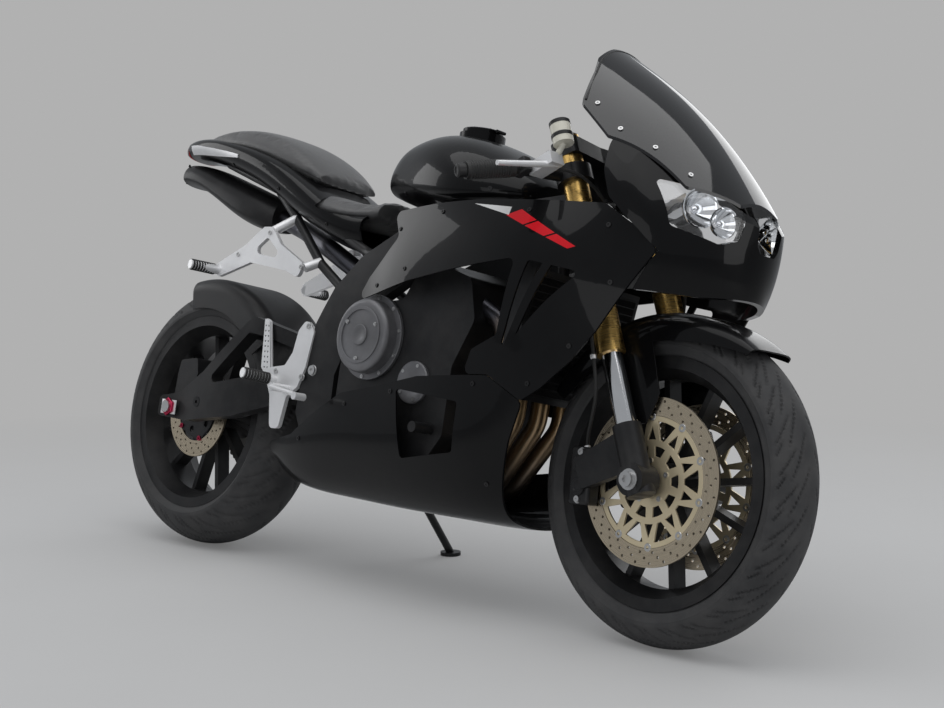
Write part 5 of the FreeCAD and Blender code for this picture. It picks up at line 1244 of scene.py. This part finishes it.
class BoltOperator(bpy.types.Operator):
    """Bolt heads of engine, wheels, brakes and panels"""
    bl_idname = "moto.bolts"
    bl_label = "Bolts"

    def execute(self, context):
        self.engine()
        self.panels()
        self.running_gear()
        return {"FINISHED"}

    def engine(self):
        rings = (  # centre, distance left, ring's radius, count, bolt's radius, shift
            (CLUTCH, -0.1582, 0.0845, 10, 0.0042, 0.2),
            (CLUTCH, -0.1925, 0.050, 3, 0.0035, 0.5),
            (PULSE_COVER, -0.1572, 0.036, 5, 0.0036, 0.0),
            (ALTERNATOR, 0.1822, 0.0555, 7, 0.0042, 0.3),
            ((0.616, 0.432), 0.1622, 0.034, 4, 0.0038, 0.8),
        )
        bolts("engine_bolts", "chassis", [spot for ring in rings for spot in bolt_ring(*ring)])

    def panels(self):
        lift, size = 0.0004, 0.0046
        panels = (  # left and right part, places ahead and up
            ("side_fairing_left", "side_fairing_right", (
                (0.735, 0.742), (0.875, 0.772), (1.120, 0.770), (1.300, 0.745), (1.322, 0.640),
                (1.252, 0.520), (1.165, 0.445), (0.790, 0.655), (0.690, 0.622))),
            ("belly_pan", "belly_pan", (
                (0.480, 0.285), (0.640, 0.370), (0.790, 0.405), (1.030, 0.435), (1.060, 0.250))),
            ("tail_cowl", "tail_cowl", ((0.430, 0.765), (0.240, 0.850), (0.020, 0.920))),
            ("fuel_tank", "fuel_tank", ((0.655, 0.835), (0.945, 0.830))),
        )
        spots = []
        for left, right, places in panels:
            for x, z in places:
                for node, side in ((left, 1), (right, -1)):
                    spots.append(seated(from_side(node, x, z, side), lift, size))
        bolts("panel_screws", "chassis", spots, "satin_black", "black_metal")

    def running_gear(self):
        pivot, pivot_left, pivot_size = (0.490, 0.435), 0.1525, 0.0105
        brackets = (  # distance left, bolt's radius, places ahead and up
            (0.1572, 0.0062, ((0.462, 0.530), (0.462, 0.418), (0.374, 0.425))),
            (0.1402, 0.0055, ((0.384, 0.664), (0.256, 0.742), (0.150, 0.690))),
        )
        axle_left, axle_size = 0.1365, 0.0145
        clamp_x, clamp_left, clamp_ups, clamp_size = -0.0335, 0.128, (0.438, 0.456, 0.664, 0.680), 0.0045
        hub_left, hub_ring, hub_bolts, hub_size = 0.0722, 0.0385, 5, 0.005
        caliper_left, caliper_size, caliper_half = 0.1062, 0.0062, 0.044
        chassis, forks, wheel = [], [], []
        for side in SIDES:
            out = sideways(side)
            chassis.append(((pivot[0], side * pivot_left, pivot[1]), out, pivot_size))
            for left, size, places in brackets:
                chassis += [((x, side * left, z), out, size) for x, z in places]
            forks.append(((0, side * axle_left, 0), out, axle_size))
            for along in (caliper_half, -caliper_half):
                forks.append((on_caliper(along, side * caliper_left), out, caliper_size))
            for up in clamp_ups:
                forks.append(((clamp_x, side * clamp_left, up), (-0.6, side * 0.8, 0), clamp_size))
            wheel += bolt_ring((0, 0), side * hub_left, hub_ring, hub_bolts, hub_size)
        bolts("frame_bolts", "chassis", chassis)
        bolts("fork_bolts", "steering", forks)
        bolts("front_hub_bolts", "front_wheel", wheel, "bright_steel")


class EngineOperator(bpy.types.Operator):
    """Rims and caps of the engine covers, radiator core, exhaust outlet and shock spring"""
    bl_idname = "moto.engine"
    bl_label = "Engine details"

    def execute(self, context):
        oil_filler, water_pump = (0.742, 0.400), (0.700, 0.345)
        covers = (  # profile, centre, distance left, steps
            (pipe_ring(outer=0.0905, inner=0.0775, low=0.0, high=0.0082), CLUTCH, -0.150, 64),
            (pipe_ring(outer=0.060, inner=0.054, low=0.0, high=0.0022, rim=0.0006), CLUTCH, -0.190, 64),
            (knob(radius=0.022, tall=0.003, rim=0.001, dish=0.001), CLUTCH, -0.190, 40),
            (knob(radius=0.044, tall=0.0075, rim=0.002, dish=0.002), PULSE_COVER, -0.150, 48),
            (knob(radius=0.017, tall=0.014, rim=0.002, dish=0.003), oil_filler, -0.150, 24),
            (pipe_ring(outer=0.046, inner=0.041, low=0.0, high=0.002, rim=0.0006), ALTERNATOR, 0.182, 56),
            (knob(radius=0.030, tall=0.016, rim=0.003, dish=0.003), water_pump, 0.150, 40),
        )
        parts = [turned(profile, (x, left, z), sideways(left), steps)
                 for profile, (x, z), left, steps in covers]
        piece("cover_rims", parts, "chassis", "dark_grey_metal")
        self.radiator_core()
        self.outlet()
        self.spring()
        return {"FINISHED"}

    def radiator_core(self):
        """Fins side by side, and tubes one above the other, on the leaning radiator."""
        centre, lean, wide, tall, tube_run = (1.0884, 0, 0.546), 8.57, 0.305, 0.232, 0.228
        fin_count, fin_deep, fin_thick = 90, 0.003, 0.0007
        tube_count, tube_deep, tube_tall = 16, 0.0042, 0.0022
        place = Matrix.Translation(centre) @ Matrix.Rotation(math.radians(lean), 4, "Y")
        fins = plate_row("black_metal", fin_count, (0, wide, 0), (fin_deep, fin_thick, tall), place)
        tubes = plate_row("black_metal", tube_count, (0, 0, tube_run), (tube_deep, wide, tube_tall), place)
        piece("radiator_core", [fins, tubes], "chassis", "black_metal", angle=30)

    def outlet(self):
        """Rolled lip, its pipe and the cap plate's rivets at the muffler's mouth."""
        back = Vector((-1, 0, 0.1)).normalized()
        mouth = Vector((-0.2362, 0, 0.9138))
        lip = turned(pipe_ring(outer=0.0285, inner=0.0225, low=0.0, high=0.006, rim=0.002), mouth, back, 48)
        pipe = turned(pipe_ring(outer=0.0226, inner=0.0205, low=-0.05, high=0.003, rim=0.0005),
                      mouth, back, 40)
        piece("muffler_lip", [lip, pipe], "chassis", "exhaust_steel", "slider_chrome")
        cap_x, cap_way, rivet = -0.2368, (-1, 0, 0.05), 0.0028
        rivets = [((cap_x, y, z), cap_way, rivet)
                  for y in (-0.044, -0.022, 0.022, 0.044) for z in (0.892, 0.936)]
        bolts("muffler_rivets", "chassis", rivets)

    def spring(self):
        """Coil round the shock absorber, from its lower seat."""
        low, high = Vector((0.404, 0.018, 0.286)), Vector((0.424, 0.018, 0.500))
        seat_up, coil_radius, rise, wire, coils, steps = 0.054, 0.0300, 0.105, 0.0046, 7, 14
        way = (high - low).normalized()
        place = towards(low + way * seat_up, way)
        points = []
        for k in range(coils * steps + 1):
            x, y = on_circle(coil_radius, 2 * math.pi * k / steps)
            points.append(place @ Vector((x, y, rise * k / (coils * steps))))
        coil = tube(points, wire, resolution=2)
        piece("shock_spring", coil, "chassis", "black_metal", "red_anodised")


class FrontOperator(bpy.types.Operator):
    """Caps, pods, hoses, mudguard and brake details that turn with the steering"""
    bl_idname = "moto.front"
    bl_label = "Steered details"

    def execute(self, context):
        self.fork_caps()
        self.bar_parts()
        self.hoses()
        self.calipers()
        self.fender()
        self.reservoir()
        return {"FINISHED"}

    def fork_caps(self):
        """Nuts of the fork and its stem, adjusters and ignition lock."""
        leg_left, nut_up, adjuster_up = 0.105, 0.700, 0.705
        nut = knob(radius=0.0225, tall=0.006, rim=0.001, dish=0.001)
        adjuster = knob(radius=0.009, tall=0.009, rim=0.001, dish=0.001)
        caps = [turned(nut, (0, side * leg_left, nut_up), UP, 6) for side in SIDES]
        adjusters = [turned(adjuster, (0, side * leg_left, adjuster_up), UP, 20) for side in SIDES]
        stem, lock_place = (-0.0325, 0, 0.697), (-0.060, 0, 0.689)
        caps.append(turned(knob(radius=0.0205, tall=0.011, rim=0.001, dish=0.002), stem, UP, 6))
        piece("fork_caps", caps, "steering", "silver_aluminium")
        piece("fork_adjusters", adjusters, "steering", "gold_anodised")
        lock = turned(knob(radius=0.0165, tall=0.012, rim=0.0015, dish=0.002), lock_place, UP, 28)
        piece("ignition_lock", lock, "steering", "black_metal")

    def bar_parts(self):
        """Switch pods, bar ends and the ribs of the grips."""
        ribs_each, first_rib, rib_pitch = 16, 0.010, 0.0052
        bar_end = knob(radius=0.0135, tall=0.018, rim=0.003, dish=0.002)
        rib = pipe_ring(outer=0.0181, inner=0.0168, low=0.0, high=0.0030)
        grip_in, grip_out = (-0.022, 0.252, 0.612), (-0.062, 0.342, 0.606)
        boxes = (  # low corner, high corner, bevel, segments: the pod and its button
            ((-0.036, 0.2225, 0.6005), (0.001, 0.2440, 0.632), 0.006, 3),
            ((-0.041, 0.227, 0.610), (-0.034, 0.239, 0.622), 0.002, 2),
        )
        pods, ends, ribs = [], [], []
        for side in SIDES:
            pods += [mirrored(box(*corners), side) for corners in boxes]
            inner, outer = (Vector((x, side * y, z)) for x, y, z in (grip_in, grip_out))
            way = (outer - inner).normalized()
            ends.append(turned(bar_end, outer, way, 28))
            for step in range(ribs_each):
                ribs.append(turned(rib, inner + way * (first_rib + rib_pitch * step), way, 28))
        piece("switch_pods", pods, "steering", "satin_black")
        piece("bar_ends", ends, "steering", "black_metal")
        piece("grip_ribs", ribs, "steering", "soft_rubber")

    def hoses(self):
        """Brake lines clipped along the legs, and the cables from the pods to the steering head."""
        wide = chosen("trim").hose_radius
        brake = ((0.030, 0.060, 0.470), (0.046, 0.082, 0.440), (0.036, 0.128, 0.405), (0.000, 0.139, 0.350),
                 (-0.020, 0.133, 0.250), (-0.034, 0.128, 0.180), (-0.070, 0.112, 0.145),
                 (-0.108, 0.092, 0.118), (-0.116, 0.088, 0.098))
        cable = ((0.018, 0.190, 0.606), (0.045, 0.160, 0.598), (0.052, 0.105, 0.560), (0.045, 0.070, 0.510),
                 (0.030, 0.060, 0.470))
        clutch = ((0.000, 0.232, 0.610), (0.030, 0.205, 0.612), (0.045, 0.150, 0.590), (0.052, 0.085, 0.540),
                  (0.030, 0.040, 0.475))
        clip_places = ((-0.004, 0.1385, 0.340), (-0.022, 0.1325, 0.245), (-0.114, 0.089, 0.102))
        clip_share, grip_share, clip_half, clip_way, thin_share = 1.7, 0.9, 0.004, (0.15, 0, 1), 0.8
        clip = pipe_ring(wide * clip_share, wide * grip_share, -clip_half, clip_half)
        lines = [tube([(x, side * y, z) for x, y, z in route], wide)
                 for side in SIDES for route in (brake, cable)]
        lines.append(tube(clutch, wide * thin_share))
        clips = [turned(clip, (x, side * y, z), clip_way, 16)
                 for side in SIDES for x, y, z in clip_places]
        piece("brake_lines", lines, "steering", "soft_rubber")
        piece("line_clips", clips, "steering", "silver_aluminium")

    def calipers(self):
        """Round caps over the pistons of the front calipers."""
        cap, cap_left, cap_half = knob(radius=0.0165, tall=0.0045, rim=0.0015, dish=0.0015), 0.1058, 0.021
        caps = [turned(cap, on_caliper(along, side * cap_left), sideways(side), 32)
                for side in SIDES for along in (cap_half, -cap_half)]
        piece("caliper_caps", caps, "steering", "black_metal")

    def fender(self):
        """Front mudguard as one smooth arch over the tyre, with its fork guards."""
        rows, columns, corner, thick = 56, 40, 2 / 3.8, 0.003
        back, ahead, crown, side_low, half_wide = -36.0, 60.0, 0.315, 0.256, 0.081
        nose_from, nose_narrower, nose_higher = 18.0, 0.020, 0.043
        heel_from, heel_run, heel_narrower, heel_higher = -22.0, 14.0, 0.004, 0.014
        work = bmesh.new()
        grid = []
        for row in range(rows + 1):
            degrees = back + (ahead - back) * row / rows
            nose = min(1.0, max(0.0, (degrees - nose_from) / (ahead - nose_from))) ** 2
            heel = min(1.0, max(0.0, (heel_from - degrees) / heel_run)) ** 2
            half = half_wide - nose_narrower * nose - heel_narrower * heel
            low = side_low + nose_higher * nose + heel_higher * heel
            line = []
            for column in range(columns + 1):
                across = math.pi * (column / columns - 0.5)
                y = half * math.copysign(abs(math.sin(across)) ** corner, across)
                radius = low + (crown - low) * max(0.0, math.cos(across)) ** corner
                line.append(work.verts.new(about_axle(radius, y, math.radians(degrees))))
            grid.append(line)
        skin(work, grid)
        work.normal_update()
        middle = grid[rows // 2][columns // 2]
        if middle.normal.dot(middle.co) < 0:
            bmesh.ops.reverse_faces(work, faces=work.faces)
        shell = link("shell", from_bmesh(work, recalc=False))
        wall = shell.modifiers.new("wall", "SOLIDIFY")
        wall.thickness, wall.offset = thick, -1.0
        guard = ((-0.036, 0.268), (-0.0405, 0.205), (-0.034, 0.188), (0.014, 0.107), (0.026, 0.103),
                 (0.060, 0.134), (0.069, 0.146), (0.080, 0.250), (0.079, 0.268))
        guard_left, guard_bevel = 0.0792, 0.0006
        parts = [plain_mesh(shell)]
        parts += [stood(plate(guard, thick, bevel=guard_bevel), side * guard_left) for side in SIDES]
        arch = piece("front_fender_arch", parts, "steering", "gloss_black", angle=40)
        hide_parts("front_mudguard")

    def reservoir(self):
        """Cap of the brake reservoir, and the clip round its body."""
        x, y, cap_up, clip_up = 0.058, -0.190, 0.677, 0.650
        parts = [turned(knob(radius=0.0206, tall=0.0083, rim=0.0015, dish=0.001), (x, y, cap_up), UP, 40),
                 turned(pipe_ring(outer=0.0210, inner=0.0202, low=0.0, high=0.008), (x, y, clip_up), UP, 40)]
        piece("reservoir_cap", parts, "steering", "satin_black")


class CockpitOperator(bpy.types.Operator):
    """Dials, windscreen edge and windscreen screws"""
    bl_idname = "moto.cockpit"
    bl_label = "Cockpit"

    def execute(self, context):
        self.dials()
        self.screen()
        return {"FINISHED"}

    def dials(self):
        """Rev counter with its marks and plain numbers, between two small displays."""
        centre, back = Vector((1.2078, 0, 0.937)), Vector((-0.985, 0, 0.172)).normalized()
        marks, first_turn, sweep, number_ring = 13, 225, 270, 0.0165
        spin = towards(centre, back) @ Matrix.Rotation(math.radians(90), 4, "Z")

        def flat(low, high, bevel, turn=0.0, segments=1):
            mesh = box(low, high, bevel, segments)
            mesh.transform(spin @ Matrix.Rotation(turn, 4, "Z"))
            return mesh

        bezel = turned(pipe_ring(outer=0.0300, inner=0.0270, low=0.0, high=0.005), centre, back, 56)
        faces = [turned(knob(radius=0.0272, tall=0.0012, rim=0.0004), centre, back, 56),
                 flat((0.034, -0.022, 0.0002), (0.070, 0.018, 0.003), 0.0012, segments=2),
                 flat((-0.068, -0.018, 0.0002), (-0.036, 0.016, 0.002), 0.0010, segments=2)]
        piece("dial_frame", bezel, "chassis", "satin_black", "black_metal")
        piece("dial_faces", faces, "chassis", "satin_black", "dial")
        drawn = [flat((-0.004, -0.0006, 0.0020), (0.0215, 0.0006, 0.0026), 0.0002, math.radians(first_turn))]
        for step in range(marks):
            turn = math.radians(first_turn - sweep * step / (marks - 1))
            drawn.append(flat((0.0205, -0.0005, 0.0013), (0.0250, 0.0005, 0.0017), 0.0001, turn))
            if step % 2 == 0:
                place = Matrix.Translation((*on_circle(number_ring, turn), 0.0014))
                drawn.append(self.number(str(step), spin @ place))
        piece("dial_marks", drawn, "chassis", "white_plastic")

    def number(self, label, place):
        text = bpy.data.curves.new("number", "FONT")
        tall, raised = 0.0058, 0.0002
        text.body, text.size, text.extrude = label, tall, raised
        text.align_x, text.align_y = "CENTER", "CENTER"
        mesh = plain_mesh(link("number", text))
        mesh.transform(place)
        return mesh

    def screen(self):
        """Screws along the windscreen's sides, and the rubber edge at its back."""
        lift, size, edge_radius = 0.0005, 0.0048, 0.0026
        screws = ((1.205, 0.170), (1.275, 0.178), (1.345, 0.158), (1.412, 0.132))
        spots = [seated(from_above("windscreen", x, side * y), lift, size)
                 for x, y in screws for side in SIDES]
        bolts("screen_screws", "chassis", spots, "satin_black")
        half = ((1.121, 0.0), (1.122, 0.042), (1.133, 0.092), (1.154, 0.124), (1.180, 0.176))
        outline = [(x, -y) for x, y in reversed(half)] + list(half[1:])
        edge = tube([from_above("windscreen", x, y)[0] for x, y in outline], edge_radius)
        piece("screen_edge", edge, "chassis", "soft_rubber")


class RearOperator(bpy.types.Operator):
    """Heel guards, peg sleeves, axle nuts and tail trim"""
    bl_idname = "moto.rear"
    bl_label = "Rear details"

    def execute(self, context):
        self.heel_guards()
        self.pegs()
        self.axle()
        piece("tail_strips", [self.tail_strip(side) for side in SIDES], "chassis", "silver_aluminium")
        return {"FINISHED"}

    def heel_guards(self):
        """Perforated plates beside the pegs, each with a matt black sheet behind it as painted shade seen through
        the holes.
        """
        outline = ((0.303, 0.541), (0.319, 0.535), (0.348, 0.421), (0.339, 0.409), (0.314, 0.432))
        rows, first_hole, row_run, column_half, hole = 9, (0.3295, 0.432), (-0.0155, 0.094), 0.0052, 0.0026
        guard_thick, guard_bevel, guard_out, sheet_thick, sheet_out = 0.0016, 0.0003, 0.1527, 0.0006, 0.1515
        holes = []
        for row in range(rows):
            share = row / (rows - 1)
            x, z = first_hole[0] + row_run[0] * share, first_hole[1] + row_run[1] * share
            holes += [round_window(x + column * column_half, z, hole) for column in (-1, 1)]
        plates = [stood(plate(outline, guard_thick, holes, guard_bevel), side * guard_out) for side in SIDES]
        # Painted shade: a matt black sheet with the guard's outline, just behind it, darkens the holes.
        shade_sheets = [stood(plate(outline, sheet_thick), side * sheet_out) for side in SIDES]
        piece("heel_guards", plates, "chassis", "silver_aluminium")
        piece("heel_guard_shade_sheets", shade_sheets, "chassis", "satin_black", "dial")

    def pegs(self):
        """Rubber ribs round the rider's and the passenger's pegs."""
        pegs = (  # inner end, outer end, radius
            ((0.368, 0.172, 0.406), (0.3552, 0.235, 0.4099), 0.0128),
            ((0.0775, 0.150, 0.652), (0.0702, 0.213, 0.652), 0.0126),
        )
        ribs_each, rib_share, proud, sunk = 9, 0.7, 0.0008, 0.0024
        sleeves = []
        for side in SIDES:
            for (x_in, y_in, z_in), (x_out, y_out, z_out), radius in pegs:
                first, last = Vector((x_in, side * y_in, z_in)), Vector((x_out, side * y_out, z_out))
                way = last - first
                long = way.length / ribs_each * rib_share
                rib = pipe_ring(radius + proud, radius - sunk, 0.0, long, 0.0006)
                for step in range(ribs_each):
                    sleeves.append(turned(rib, first + way * (step / ribs_each), way, 24))
        piece("peg_sleeves", sleeves, "chassis", "soft_rubber")

    def axle(self):
        """Coloured nuts of the rear axle, and the adjuster plates under them."""
        nut, nut_left = pipe_ring(outer=0.0215, inner=0.0142, low=0.0, high=0.009, rim=0.0015), 0.1585
        nuts = [turned(nut, (0, side * nut_left, REAR_RADIUS), sideways(side), 6) for side in SIDES]
        low, high = (-0.030, 0.1582, 0.298), (0.026, 0.1606, 0.332)
        blocks = [mirrored(box(low, high, bevel=0.001), side) for side in SIDES]
        piece("axle_nuts", nuts, "chassis", "silver_aluminium", "red_anodised")
        piece("axle_blocks", blocks, "chassis", "silver_aluminium")

    def tail_strip(self, side):
        """Thin strip that follows the tail cowl's side, narrower towards its front."""
        path = (  # ahead, up, share of the width
            (-0.205, 0.972, 1.0), (-0.16, 0.968, 1.0), (-0.11, 0.961, 0.9), (-0.05, 0.952, 0.8),
            (0.01, 0.943, 0.6), (0.06, 0.935, 0.4))
        wide, thick, lift = 0.020, 0.0022, 0.0003
        work = bmesh.new()
        rows = []
        for x, z, share in path:
            spots = [from_side("tail_cowl", x, z + wide * share * half, side) for half in (0.5, 0.0, -0.5)]
            rows.append([[work.verts.new(place + facing * (lift + up)) for place, facing in spots]
                         for up in (0.0, thick)])
        for here, there in zip(rows, rows[1:]):
            for level in (0, 1):
                skin(work, [here[level], there[level]])
            for edge in (0, -1):
                work.faces.new((here[0][edge], there[0][edge], there[1][edge], here[1][edge]))
        for end in (rows[0], rows[-1]):
            skin(work, end)
        return from_bmesh(work)


class FuelCapOperator(bpy.types.Operator):
    """Ring, screws and key flap of the fuel cap"""
    bl_idname = "moto.fuel_cap"
    bl_label = "Fuel cap"

    def execute(self, context):
        centre, lock_back = Vector((0.752, 0, 0.9923)), Vector((-0.008, 0, 0))
        screws, screw_ring, screw_up, screw = 7, 0.0395, 0.0016, 0.0026
        rings = [turned(pipe_ring(outer=0.0435, inner=0.0355, low=0.0, high=0.0018, rim=0.0006),
                        centre, UP, 72),
                 turned(knob(radius=0.0325, tall=0.0022, rim=0.0006, dish=0.0006), centre, UP, 64),
                 turned(knob(radius=0.0085, tall=0.0042, rim=0.0008, dish=0.001), centre + lock_back, UP, 32)]
        piece("fuel_cap_ring", rings, "fuel_cap", "dark_grey_metal")
        flap = box((0.726, -0.0045, 0.9955), (0.7425, 0.0045, 0.9975), 0.0008)
        piece("fuel_cap_flap", flap, "fuel_cap", "silver_aluminium")
        spots = [(centre + Vector((*on_circle(screw_ring, turn), screw_up)), UP, screw)
                 for turn in turns(screws, math.pi / screws)]
        bolts("fuel_cap_screws", "fuel_cap", spots, "dark_grey_metal")
        return {"FINISHED"}


class HeadlightOperator(bpy.types.Operator):
    """Lamp bowls and bulbs behind the clear lenses"""
    bl_idname = "moto.headlights"
    bl_label = "Headlights"

    def execute(self, context):
        lamps = ((1.405, 0.112, 0.790, 0.034), (1.440, 0.078, 0.770, 0.026))  # place and size
        bowl_shares = ((0.0, 0.2), (0.22, 0.45), (0.6, 0.8), (0.95, 1.0), (0.95, 1.08), (0.55, 0.9))
        bulb_shares = ((0.15, 0.16), (0.5, 0.18), (0.66, 0.1))
        lens_way, bowl_back, neck_share, core = (0.93, 0.32, 0.05), -0.002, 0.2, 0.0005
        bulb_root_share, bulb_tip_share = 0.1, 0.7
        bowls, bulbs = [], []
        for side in SIDES:
            way = Vector((lens_way[0], lens_way[1] * side, lens_way[2])).normalized()
            for x, y, z, size in lamps:
                turn = towards(Vector((x, y * side, z)), way) @ Matrix.Rotation(math.radians(-90), 4, "X")
                bowl = [(-along * size, wide * size) for along, wide in bowl_shares]
                bowls.append(revolve(bowl + [(-bowl_back, size * neck_share)], 36))
                bulb = [(-along * size, wide * size) for along, wide in bulb_shares]
                bulb = [(-size * bulb_root_share, core), *bulb, (-size * bulb_tip_share, core)]
                bulbs.append(revolve(bulb, 20, closed=False))
                bowls[-1].transform(turn)
                bulbs[-1].transform(turn)
        piece("lamp_bowls", bowls, "chassis", "silver_aluminium", "lamp_mirror", 40)
        piece("lamp_bulbs", bulbs, "chassis", "clear_lens", angle=40)
        return {"FINISHED"}


class SeatOperator(bpy.types.Operator):
    """Padded seats, blown up slightly by a cloth simulation"""
    bl_idname = "moto.seats"
    bl_label = "Seats"

    def execute(self, context):
        self.make("rider_seat_pad", "rider_seat")
        self.make("pillion_seat_pad", "pillion_seat")
        return {"FINISHED"}

    def make(self, name, node):
        """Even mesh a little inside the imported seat, puffed out and softened."""
        inset, grid = 0.003, 0.0055
        work = bmesh.new()
        work.from_mesh(frame["nodes"][node].data)
        bmesh.ops.remove_doubles(work, verts=work.verts, dist=1e-5)
        item = link(name, from_bmesh(work))
        remesh = item.modifiers.new("remesh", "REMESH")
        remesh.mode, remesh.voxel_size, remesh.use_smooth_shade = "VOXEL", grid, True
        mesh = plain_mesh(item)
        work = bmesh.new()
        work.from_mesh(mesh)
        work.normal_update()
        for vert in work.verts:
            vert.co -= vert.normal * inset
        work.to_mesh(mesh)
        work.free()
        item = link(name, mesh)
        self.puff(item)
        soften = item.modifiers.new("soften", "SUBSURF")
        soften.levels = soften.render_levels = 1
        item = piece(name, plain_mesh(item), "chassis", "seat_vinyl", angle=60, placed=True)
        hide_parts(node)

    def puff(self, item):
        """Blows the padding up by cloth pressure, no further than a cap."""
        cap, pressure, frames = 0.006, 4, 20
        scene = bpy.context.scene
        rest = [vert.co.copy() for vert in item.data.vertices]
        cloth = item.modifiers.new("cloth", "CLOTH")
        cloth.settings.use_pressure = True
        cloth.settings.uniform_pressure_force = pressure
        cloth.settings.effector_weights.gravity = 0
        cloth.point_cache.frame_start, cloth.point_cache.frame_end = 1, frames
        for step in range(1, frames + 1):
            scene.frame_set(step)
        graph = bpy.context.evaluated_depsgraph_get()
        blown = item.evaluated_get(graph).to_mesh()
        moved = [vert.co.copy() for vert in blown.vertices]
        item.evaluated_get(graph).to_mesh_clear()
        item.modifiers.remove(cloth)
        for vert, start, there in zip(item.data.vertices, rest, moved):
            shift = there - start
            if shift.length > cap:
                shift *= cap / shift.length
            vert.co = start + shift
        scene.frame_set(1)


OPERATORS = (
    StudioOperator, CadFinishOperator, TyreOperator, DiscOperator, ChainOperator, BoltOperator,
    EngineOperator, FrontOperator, CockpitOperator, RearOperator, FuelCapOperator, HeadlightOperator,
    SeatOperator,
)


class MotoPanel(bpy.types.Panel):
    """Lists the settings and the operators"""
    bl_idname = "VIEW3D_PT_moto"
    bl_label = "Motorcycle"
    bl_space_type = "VIEW_3D"
    bl_region_type = "UI"
    bl_category = "Motorcycle"

    def draw(self, context):
        for key, kind in SETTINGS.items():
            rows = self.layout.box()
            for name in kind.__annotations__:
                rows.prop(chosen(key), name)
        for operator in OPERATORS:
            self.layout.operator(operator.bl_idname)


def register():
    for key, kind in SETTINGS.items():
        bpy.utils.register_class(kind)
        setattr(bpy.types.Scene, "moto_" + key, PointerProperty(type=kind))
    for operator in OPERATORS:
        bpy.utils.register_class(operator)
    bpy.utils.register_class(MotoPanel)


def unregister():
    bpy.utils.unregister_class(MotoPanel)
    for operator in reversed(OPERATORS):
        bpy.utils.unregister_class(operator)
    for key, kind in reversed(SETTINGS.items()):
        delattr(bpy.types.Scene, "moto_" + key)
        bpy.utils.unregister_class(kind)


def main():
    register()
    for operator in OPERATORS:
        group, name = operator.bl_idname.split(".")
        getattr(getattr(bpy.ops, group), name)()


if __name__ == "__main__":
    main()
